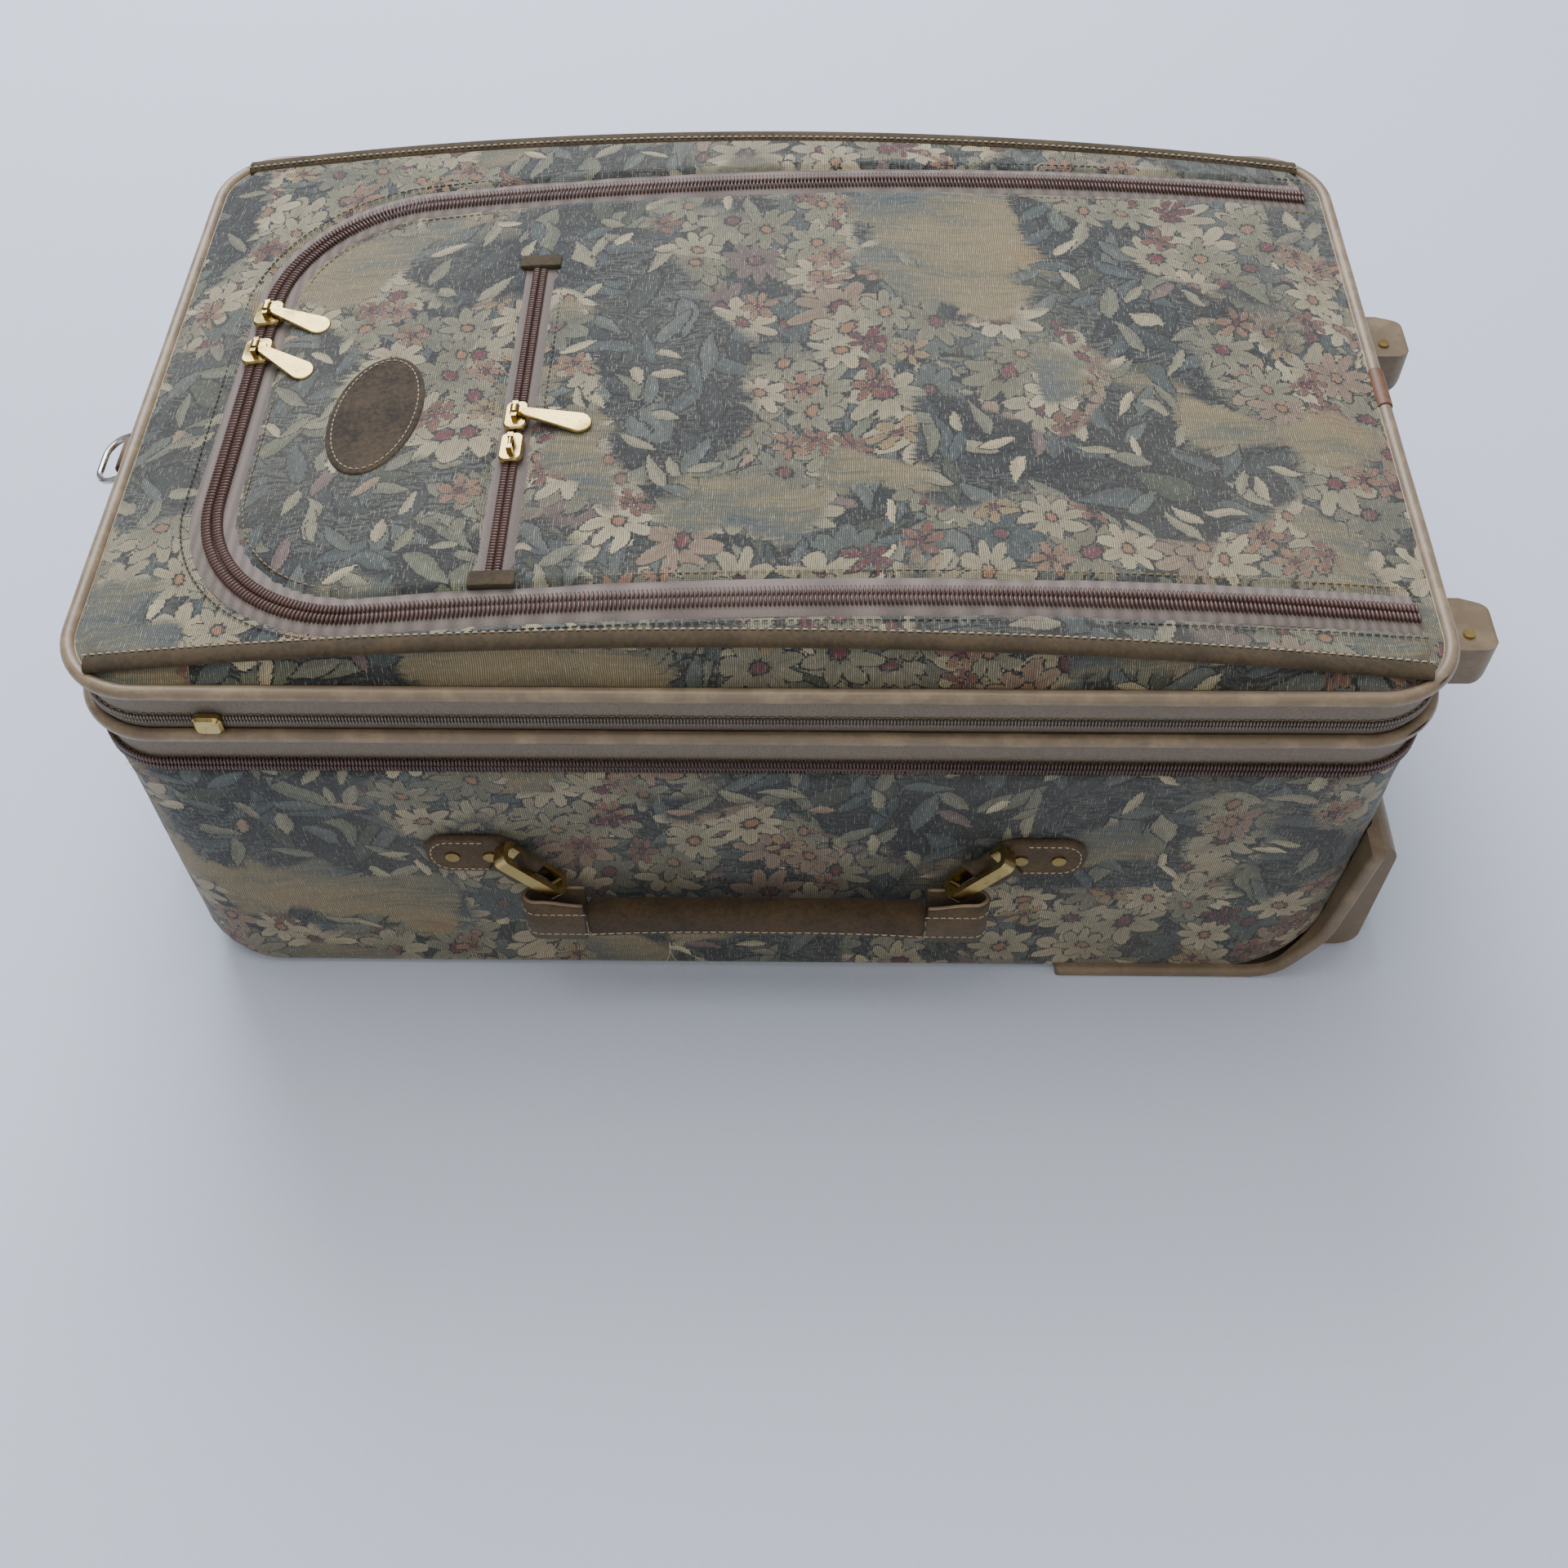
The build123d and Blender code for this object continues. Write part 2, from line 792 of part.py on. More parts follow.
gusset_inset = tape_inner + gusset_gap
with BuildPart() as expansion_gusset:
    band(gusset_inset, gusset_inset + gusset_thickness, gusset_low, gusset_high)

with BuildPart() as lid_lining:
    with BuildSketch(Plane.XY.offset(lid_lining_z)):
        total = gusset_inset + gusset_thickness + lid_lining_gap
        RectangleRounded(case_length - 2 * total, case_width - 2 * total, plan_radius - total)
    extrude(amount=lid_lining_thickness)

save("expansion_zip_lower", expansion_zip_lower.part)
save("expansion_zip_upper", expansion_zip_upper.part)
save("expansion_gusset", expansion_gusset.part)
save("lid_lining", lid_lining.part)

sleeve_radius = front_piping_radius + sleeve_gap
with BuildPart() as piping_sleeve:
    with BuildSketch(Plane.XZ.offset(-sleeve_y - sleeve_length / 2)):
        with Locations((half_length + piping_proud, front_piping_z)):
            Circle(sleeve_radius + sleeve_wall)
            Circle(sleeve_radius, mode=Mode.SUBTRACT)
    extrude(amount=sleeve_length)
    box(
        (half_length - 20, -50, front_piping_z - 10),
        (half_length + 0.2, 50, front_piping_z + 10),
        mode=Mode.SUBTRACT,
    )

save("piping_sleeve", piping_sleeve.part)

# Front panel with its pockets' zips and trims

with BuildPart() as front_panel:
    add(panel_form(0, 0, 0))
    add(panel_form(panel_thickness, -panel_thickness, 4.0), mode=Mode.SUBTRACT)

save("front_panel", front_panel.part)

binding_sheet = crown_layer(layer_gap, binding_thickness)
for name, side in (("binding_near", -1), ("binding_far", 1)):
    with BuildPart() as binding:
        near, far = sorted((side * (binding_outer_y - binding_width), side * binding_outer_y))
        box((-binding_end, near, panel_base), (binding_end, far, crown_top_z + 10))
        add(binding_sheet, mode=Mode.INTERSECT)
    save(name, binding.part)

tape_sheet = crown_layer(layer_gap, layer_gap + front_tape_thickness)
coil_sheet = crown_layer(layer_gap, layer_gap + front_tape_thickness + front_coil_height)
coil_top = layer_gap + front_tape_thickness + front_coil_height
with BuildPart() as pocket_tape:
    add(pocket_ribbon(front_tape_width / 2, 40.0))
    add(tape_sheet, mode=Mode.INTERSECT)
with BuildPart() as pocket_coil:
    add(pocket_ribbon(front_coil_width / 2, 40.0))
    add(coil_sheet, mode=Mode.INTERSECT)
with BuildPart() as pocket_zip:
    add(pocket_tape.part)
    add(pocket_coil.part)

save("pocket_zip", pocket_zip.part)


def cross_strip(width, low, high, sheet):
    """A strip across the case at the small zip, cut out of a sheet on the panel."""
    with BuildPart() as strip:
        box(
            (small_zip_x - width / 2, low, panel_base),
            (small_zip_x + width / 2, high, crown_top_z + 10),
        )
        add(sheet, mode=Mode.INTERSECT)
    return strip.part


with BuildPart() as small_zip:
    add(cross_strip(small_tape_width, small_zip_low, small_zip_high, tape_sheet))
    low = small_zip_low + end_tab_length
    add(cross_strip(small_coil_width, low, small_zip_high - end_tab_length, coil_sheet))

tab_low = 2 * layer_gap + front_tape_thickness
tab_sheet = crown_layer(tab_low, tab_low + end_tab_thickness)
with BuildPart() as zip_end_tabs:
    low = small_zip_low - 1.0
    high = small_zip_high + 1.0
    add(cross_strip(end_tab_width, low, small_zip_low + end_tab_length - 0.2, tab_sheet))
    add(cross_strip(end_tab_width, small_zip_high - end_tab_length + 0.2, high, tab_sheet))

save("small_zip", small_zip.part)
save("zip_end_tabs", zip_end_tabs.part)

with BuildPart() as oval_patch:
    with BuildSketch(Plane.XY.offset(panel_base)):
        with Locations(Location((patch_x, patch_y, 0), (0, 0, patch_turn))):
            Ellipse(patch_width / 2, patch_length / 2)
    extrude(amount=40.0)
    add(crown_layer(layer_gap, layer_gap + patch_thickness), mode=Mode.INTERSECT)

save("oval_patch", oval_patch.part)

# Zip sliders and pulls, drawn at the coil's top: X along the zip, Z away from it

pin_z = slider_clearance + slider_plate + slider_pin_height
ear_x = pull_knuckle_length / 2 + 0.2 + slider_ear / 2


def slider(coil_width, lips):
    """One slider body: its plate, the two ears, the pin between them and the side lips."""
    with BuildPart() as body:
        wide = coil_width + 2 * slider_side + 0.6
        with BuildSketch(Plane.XY.offset(slider_clearance)):
            RectangleRounded(slider_length, wide, wide / 3)
        extrude(amount=slider_plate)
        chamfer(faces().sort_by(Axis.Z)[-1].edges(), length=slider_chamfer)
        if lips:
            for side in (-1, 1):
                near, far = sorted((side * (coil_width / 2 + 0.3), side * wide / 2))
                box((-slider_length / 4, near, -1.0), (slider_length / 4, far, slider_clearance + 0.5))
        for side in (-1, 1):
            with Locations((side * ear_x, 0, slider_clearance + (pin_z + 1.2) / 2)):
                Box(slider_ear, 2.4, pin_z + 1.2 - 2 * slider_clearance)
        with Locations(Location((0, 0, pin_z), (0, 90, 0))):
            Cylinder(slider_pin_radius, 2 * ear_x)
    return body.part


def pull(skew, tilt):
    """The pull on its knuckle, lying towards +Y, turned in plan by skew and dipped by tilt."""
    with BuildPart() as arm:
        with BuildSketch(Plane.XY.offset(-pull_thickness / 2)):
            with BuildSketch(mode=Mode.PRIVATE) as ends:
                with Locations((0, pull_neck + pull_knuckle_radius + 0.4)):
                    Circle(pull_neck)
                with Locations((0, pull_length - pull_width / 2)):
                    Circle(pull_width / 2)
            make_hull(ends.sketch.edges())
        extrude(amount=pull_thickness)
        chamfer(faces().filter_by(Axis.Z).edges(), length=pull_chamfer)
    with BuildPart() as whole:
        add(arm.part.rotate(Axis.X, -tilt).rotate(Axis.Z, skew))
        with BuildPart(mode=Mode.PRIVATE) as neck:
            with Locations((0, pull_neck, 0)):
                Box(2 * slider_ear - 1.2, 2 * pull_neck, pull_thickness)
        add(neck.part.rotate(Axis.X, -tilt))
        with Locations(Location((0, 0, 0), (0, 90, 0))):
            Cylinder(pull_knuckle_radius, pull_knuckle_length)
            Cylinder(
                slider_pin_radius + pull_pin_clearance, pull_knuckle_length, mode=Mode.SUBTRACT
            )
    return whole.part.moved(Location((0, 0, pin_z)))


def across(x, y, lift):
    """A slider's place on a front zip that runs along Y, with +Y of the pull towards +X."""
    return crown_place(x, y, lift) * Location((0, 0, 0), (0, 0, -90))


front_slider = slider(front_coil_width, True)
small_slider = slider(small_coil_width, True)
for name, x, y, skew, body in (
    ("pocket_slider_a", pocket_x_turn, pocket_slider_a_y, pocket_slider_a_skew, front_slider),
    ("pocket_slider_b", pocket_x_turn, pocket_slider_b_y, pocket_slider_b_skew, front_slider),
    ("small_slider_a", small_zip_x, small_slider_a_y, small_slider_a_skew, small_slider),
    ("small_slider_b", small_zip_x, small_slider_b_y, None, small_slider),
):
    place = across(x, y, coil_top)
    save(name, body.moved(place))
    if skew is not None:
        save(name + "_pull", pull(skew, pull_tilt).moved(place))

top_zip_plane = Plane(
    origin=(-half_length - coil_proud, 0, zip_line), x_dir=(0, 1, 0), z_dir=(-1, 0, 0)
)
main_slider = slider(2 * main_coil_height + 2 * zip_line_gap, False)
for name, side in (("main_slider_a", -1), ("main_slider_b", 1)):
    place = top_zip_plane.location * Location((side * main_slider_y, 0, 0))
    save(name, main_slider.moved(place))
    save(name + "_pull", pull(0, 0).moved(place))

with BuildPart() as expansion_slider:
    side_y = half_width + expansion_coil_proud + slider_clearance
    with BuildSketch(Plane.XZ.offset(side_y)):
        with Locations((expansion_slider_x, expansion_line)):
            RectangleRounded(expansion_slider_length, expansion_slider_width, 3.0)
    extrude(amount=expansion_slider_height)
    chamfer(faces().sort_by(Axis.Y)[0].edges(), length=expansion_slider_chamfer)

save("expansion_slider", expansion_slider.part)

# Carry handle, drawn on the near side: two patches, two rings, straps and the padded grip

tab_y = half_width + handle_seat_gap


def ring_point(plane, along, aside):
    """A place in a ring's plane, as x and z: along its long side and aside from its middle."""
    place = plane.origin + plane.x_dir * along + plane.z_dir * aside
    return (place.X, place.Z)


def handle_end(middle, shorter):
    """Patch, rivets, ring and strap of a handle's left end, moved in by shorter."""
    start = middle + shorter
    spots = [(start - rivet_first - step * rivet_spacing, handle_pivot_z) for step in range(2)]
    with BuildPart() as patch:
        with BuildSketch(Plane.XZ.offset(tab_y)):
            with Locations((start - handle_tab_start - handle_tab_length / 2, handle_pivot_z)):
                RectangleRounded(handle_tab_length, handle_tab_width, 8.0)
            with Locations(*spots):
                Circle(rivet_shank + rivet_clearance, mode=Mode.SUBTRACT)
        extrude(amount=handle_tab_thickness)
    with BuildPart() as pins:
        with BuildSketch(Plane.XZ.offset(half_width)):
            with Locations(*spots):
                Circle(rivet_shank)
        extrude(amount=handle_seat_gap + handle_tab_thickness)
        with BuildSketch(Plane.XZ.offset(tab_y + handle_tab_thickness)):
            with Locations(*spots):
                Circle(rivet_radius)
        extrude(amount=rivet_height)
    plane = Plane(
        origin=(start - ring_start, -half_width - handle_pivot_out, handle_pivot_z - ring_drop),
        x_dir=(-sin(radians(ring_tilt)), 0, cos(radians(ring_tilt))),
        z_dir=(cos(radians(ring_tilt)), 0, sin(radians(ring_tilt))),
    )
    with BuildPart() as ring:
        with BuildSketch(plane.offset(-ring_band / 2)):
            RectangleRounded(ring_length, ring_width, 4.0)
            inner_length = ring_length - 2 * ring_wall
            inner_width = ring_width - 2 * ring_wall
            RectangleRounded(inner_length, inner_width, 2.5, mode=Mode.SUBTRACT)
        extrude(amount=ring_band)
    half = strap_wide / 2
    ring_side = ring_band / 2 + strap_ring_gap
    corner = ring_point(plane, -ring_length / 2 - strap_ring_gap, ring_side)
    block_high = ring_point(plane, -ring_length / 2, -ring_band / 2)[1] - strap_ring_gap
    block_right = start - handle_grip_length / 2 - strap_grip_gap
    chape_x = start - chape_start
    with BuildPart() as strap:
        with BuildSketch(Plane.XZ.offset(half_width + handle_pivot_out - strap_thick / 2)):
            with BuildLine():
                Polyline(
                    ring_point(plane, -half, -ring_side - 1.0),
                    ring_point(plane, half, -ring_side - 1.0),
                    ring_point(plane, half, ring_side + 1.0),
                    ring_point(plane, -half, ring_side + strap_fold),
                    (block_right, block_high),
                    (block_right, block_high - 2.0),
                    (corner[0], block_high - 2.0),
                    corner,
                    ring_point(plane, -half, ring_side),
                    close=True,
                )
            make_face()
        extrude(amount=strap_thick)
        box(
            (start - strap_block_start, -half_width - strap_block_front, strap_block_low),
            (block_right, -half_width - strap_block_back, block_high),
        )
        with BuildSketch(Plane.XZ.offset(tab_y + handle_tab_thickness + 0.1)):
            with BuildLine():
                Polyline(
                    (chape_x, chape_high),
                    ring_point(plane, half, -ring_side),
                    ring_point(plane, -half, -ring_side),
                    (start - chape_foot, chape_foot_z),
                    (chape_x, chape_low),
                    close=True,
                )
            make_face()
        extrude(amount=handle_pivot_out + strap_thick / 2 - handle_seat_gap - handle_tab_thickness)
    return {"patches": patch.part, "rings": ring.part, "straps": strap.part, "rivets": pins.part}


def carry_handle(middle, shorter):
    """A whole carry handle on the near side: each kind of piece with a name."""
    pieces = {}
    for kind, piece in handle_end(middle, shorter).items():
        other = piece.mirror(Plane.YZ).moved(Location((2 * middle, 0, 0)))
        pieces[kind] = [piece, other]
    with BuildPart() as grip:
        with Locations((middle, -half_width - handle_out, handle_pivot_z - handle_drop)):
            Box(handle_grip_length - 2 * shorter, handle_grip_thickness, handle_grip_height)
        fillet(edges().filter_by(Axis.X), radius=5.5)
    pieces["grip"] = [grip.part]
    return pieces


on_side = carry_handle(handle_middle, 0)
to_top = Location((-half_length + half_width, 0, 0)) * Location((0, 0, 0), (0, 0, -90))
on_top = {}
for kind, pieces in carry_handle(0, top_handle_shorter).items():
    on_top[kind] = [piece.moved(to_top) for piece in pieces]

for kind in ("patches", "rings", "straps", "grip"):
    for place_name, family in (("side_", on_side), ("top_", on_top)):
        with BuildPart() as group:
            for piece in family[kind]:
                add(piece)
        save(place_name + kind, group.part)

with BuildPart() as rivets:
    for piece in on_side["rivets"] + on_top["rivets"]:
        add(piece)

save("rivets", rivets.part)

# Feet at the wheel end, two alike


def foot(low_y):
    """One foot whose near edge lies at low_y."""
    with BuildPart() as block:
        with BuildSketch(Plane.XY.offset(foot_low)):
            with BuildLine():
                FilletPolyline(
                    (half_length, low_y),
                    (half_length + foot_reach, low_y),
                    (half_length + foot_reach, low_y + foot_width - foot_slant),
                    (half_length + foot_reach - foot_slant_length, low_y + foot_width),
                    (half_length, low_y + foot_width),
                    radius=[0, foot_corner_radius, foot_corner_radius, 4.0, 0],
                    close=True,
                )
            make_face()
        extrude(amount=foot_high - foot_low)
        with BuildSketch(Plane.XZ.offset(-low_y + 1)):
            with BuildLine():
                step = half_length + foot_rim_step
                FilletPolyline(
                    (half_length, foot_low),
                    (half_length + foot_reach, foot_low),
                    (half_length + foot_reach, foot_high),
                    (step + 4.0, foot_high),
                    (step, body_height - foot_rim_clearance),
                    (half_length, body_height - foot_rim_clearance),
                    radius=[0, 9.0, 2.0, 1.0, 0, 0],
                    close=True,
                )
            make_face()
        extrude(amount=-foot_width - 4, mode=Mode.INTERSECT)
        with BuildSketch(Plane.XY.offset(foot_high - 9.0)):
            with Locations((half_length + foot_screw_x, low_y + foot_screw_inset)):
                Circle(rivet_shank)
        extrude(amount=12.0, mode=Mode.SUBTRACT)
    return block.part


foot_starts = [side * foot_spacing / 2 + foot_shift - foot_width / 2 for side in (-1, 1)]
save("foot_near", foot(foot_starts[0]))
save("foot_far", foot(foot_starts[1]))

with BuildPart() as foot_screws:
    for low_y in foot_starts:
        with BuildSketch(Plane.XY.offset(foot_high - 8.5)):
            with Locations((half_length + foot_screw_x, low_y + foot_screw_inset)):
                Circle(rivet_shank - 0.02)
        extrude(amount=8.5)
        with BuildSketch(Plane.XY.offset(foot_high)):
            with Locations((half_length + foot_screw_x, low_y + foot_screw_inset)):
                Circle(screw_head_radius)
        extrude(amount=screw_head_height)

save("foot_screws", foot_screws.part)

# D-ring on the top end and the tab that holds it

ring_bar_x = -half_length - ring_tab_out
with BuildPart() as ring_tab:
    with BuildSketch(Plane.XZ.offset(-ring_tab_y - ring_tab_width / 2)):
        with Locations((ring_bar_x, ring_tab_z)):
            Circle(d_knuckle_radius)
        with Locations(((ring_bar_x - half_length + tape_inset - 0.2) / 2, ring_tab_z)):
            Rectangle(-half_length + tape_inset - 0.2 - ring_bar_x, 2 * d_knuckle_radius)
        with Locations((ring_bar_x, ring_tab_z)):
            Circle(d_wire_radius + d_bore_clearance, mode=Mode.SUBTRACT)
    extrude(amount=ring_tab_width)

with BuildPart() as d_ring:
    with BuildLine() as d_line:
        half_d = d_ring_width / 2 - d_wire_radius
        reach = d_ring_depth - d_wire_radius
        FilletPolyline(
            (0, half_d),
            (-reach, half_d),
            (-reach, -half_d),
            (0, -half_d),
            radius=[2.0, 9.0, 9.0, 2.0],
            close=True,
        )
    d_path = d_line.wires()[0]
    with BuildSketch(d_path ^ 0):
        RegularPolygon(d_wire_radius, d_wire_sides)
    sweep(path=d_path)

d_place = Location((ring_bar_x, ring_tab_y, ring_tab_z)) * Location((0, 0, 0), (0, -20, 0))
save("ring_tab", ring_tab.part)
save("d_ring", d_ring.part.moved(d_place))
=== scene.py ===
"""Looks of the tapestry suitcase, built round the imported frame.

Everything is in metres in the frame's own axes: X to the wheel end, Y to the hinge side, Z up.
Small sizes are written in millimetres times MM.
"""

import logging
import math
from dataclasses import dataclass, field
from enum import Enum, auto
from functools import cache
from typing import Callable

import bpy
import numpy as np
from mathutils import Matrix, Vector, noise


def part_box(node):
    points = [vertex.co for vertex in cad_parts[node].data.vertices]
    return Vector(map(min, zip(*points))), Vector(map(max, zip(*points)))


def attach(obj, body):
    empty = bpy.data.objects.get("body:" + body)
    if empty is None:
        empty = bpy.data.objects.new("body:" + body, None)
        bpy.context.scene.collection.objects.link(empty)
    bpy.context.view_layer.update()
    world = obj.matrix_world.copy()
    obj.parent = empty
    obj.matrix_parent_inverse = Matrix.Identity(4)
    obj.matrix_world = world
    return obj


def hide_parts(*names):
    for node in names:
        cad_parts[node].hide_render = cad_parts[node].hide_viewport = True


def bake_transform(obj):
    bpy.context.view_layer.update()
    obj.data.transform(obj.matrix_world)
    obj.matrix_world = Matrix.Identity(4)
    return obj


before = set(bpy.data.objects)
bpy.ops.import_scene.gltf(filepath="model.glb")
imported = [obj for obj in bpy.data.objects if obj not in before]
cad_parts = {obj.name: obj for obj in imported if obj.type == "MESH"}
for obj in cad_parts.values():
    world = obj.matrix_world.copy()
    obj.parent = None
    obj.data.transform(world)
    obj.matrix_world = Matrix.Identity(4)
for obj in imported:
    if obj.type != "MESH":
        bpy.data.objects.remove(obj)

logging.basicConfig(level=logging.INFO, format="%(message)s")
log = logging.getLogger("suitcase")

MM = 0.001
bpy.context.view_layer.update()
TO_MM = (1 / MM, 1 / MM, 1 / MM)
NEAR = (0.0, -1.0, 0.0)
UP = (0.0, 0.0, 1.0)
TO_WHEELS = (1.0, 0.0, 0.0)
SIDES = (("a", -1.0), ("b", 1.0))

Value = bpy.types.NodeSocket | float | tuple[float, ...]
Stops = tuple[tuple[float, str], ...]
Faces = list[tuple[int, ...]]
Setter = Callable[[np.ndarray, np.ndarray], np.ndarray]
Change = Callable[[int, np.ndarray], np.ndarray]


# ---------------------------------------------------------------- colours and nodes


def linear(code: str) -> tuple[float, float, float, float]:
    """Turns an sRGB hex colour into Blender's linear values.

    Args:
        code: Colour as six hex digits after a hash sign.

    Returns:
        Red, green, blue and alpha.
    """
    parts = [int(code[i : i + 2], 16) / 255 for i in (1, 3, 5)]
    red, green, blue = [c / 12.92 if c <= 0.04045 else ((c + 0.055) / 1.055) ** 2.4 for c in parts]
    return (red, green, blue, 1.0)


# The attribute that a kind of node keeps its choice in.
CHOICES = {
    "Math": "operation",
    "VectorMath": "operation",
    "Mix": "data_type",
    "TexVoronoi": "voronoi_dimensions",
    "VectorRotate": "rotation_type",
    "ValToRGB": "interpolation",
}
# The sockets that a node's values go to in order, and its main output, where they aren't the first.
SOCKETS = {
    "Mix RGBA": ((0, 6, 7), 2),
    "Mix FLOAT": ((0, 2, 3), 0),
    "TexNoise": ((0, 2, 3, 4), 0),  # place, scale, detail, roughness
    "VectorMath SCALE": ((0, 3), 0),
    "VectorRotate Z_AXIS": ((0, 3), 0),
}


class Graph:
    """A node tree, with the one function that adds a node to it."""

    def __init__(self, name: str) -> None:
        """Starts a material's tree.

        Args:
            name: The material's name.
        """
        self.material = bpy.data.materials.new(name)
        self.material.use_nodes = True
        self.tree = self.material.node_tree
        self.tree.nodes.clear()
        self.output = self.tree.nodes.new("ShaderNodeOutputMaterial")
        self.coordinates = self.add("TexCoord").node.outputs
        self.place = self.add("VectorMath MULTIPLY", self.coordinates["Object"], TO_MM)

    def add(self, kind: str, *values: Value, stops: Stops = (),
            **named: Value) -> bpy.types.NodeSocket:
        """Adds a node with its settings and links.

        Args:
            kind: The node's type and, after a space, the choice that CHOICES names for it.
            values: What its sockets take, in the order that SOCKETS gives.
            stops: A ramp's places with their hex colours.
            named: What sockets take by their names, with _ for a space.

        Returns:
            The node's main output, whose node holds the others.
        """
        name, _, choice = kind.partition(" ")
        node = self.tree.nodes.new("ShaderNode" + name)
        if choice:
            setattr(node.color_ramp if stops else node, CHOICES[name], choice)
        order, output = SOCKETS.get(kind, (range(len(values)), 0))
        for key, value in (*zip(order, values), *named.items()):
            socket = node.inputs[key if isinstance(key, int) else key.replace("_", " ")]
            if isinstance(value, bpy.types.NodeSocket):
                self.tree.links.new(value, socket)
            else:
                socket.default_value = value
        for i, (place, colour) in enumerate(stops):
            elements = node.color_ramp.elements
            element = elements[i] if i < len(elements) else elements.new(place)
            element.position, element.color = place, linear(colour)
        return node.outputs[output]

    def close(self, shader: bpy.types.NodeSocket) -> bpy.types.Material:
        """Links a shader to the output and gives the material back.

        Args:
            shader: The shader's output.

        Returns:
            The finished material.
        """
        self.tree.links.new(shader, self.output.inputs[0])
        return self.material


# ---------------------------------------------------------------- finishes


@dataclass(frozen=True)
class Leaf:
    """One kind of leaf in the cloth.

    A cell is in millimetres, and the shape's sizes are shares of a cell.
    """

    cell: float
    shift: float
    length: float
    width: float
    share: float
    tones: Stops


@dataclass(frozen=True)
class Blossom:
    """One kind of flower in the cloth, with sizes given as a leaf's are."""

    cell: float
    shift: float
    petals: float
    share: float
    tones: Stops
    centre: str
    petal_reach: float = 0.31
    petal_length: float = 0.225
    petal_width: float = 0.118
    centre_radius: float = 0.085


SLATES = ((0.0, "#454c4b"), (0.2, "#586160"), (0.4, "#6a706a"), (0.58, "#535a4a"),
          (0.72, "#7d7f6b"), (0.86, "#3a4041"))
CREAMS = ((0.0, "#b8ae90"), (0.25, "#9f9a81"), (0.5, "#c8bb9b"), (0.68, "#918c75"),
          (0.82, "#a8917a"), (0.93, "#d2c6a6"))
GREYS = ((0.0, "#6b736c"), (0.3, "#888774"), (0.55, "#5a6463"), (0.75, "#a09a82"), (0.9, "#84726b"))
WARM = ((0.0, "#a8846c"), (0.4, "#916b5b"), (0.7, "#b09872"), (0.88, "#77474a"))
STRAW = ((0.38, "#454e52"), (0.47, "#646c6a"), (0.54, "#7d7b67"), (0.60, "#968a6b"),
         (0.68, "#a69672"), (0.78, "#9c7e5c"))


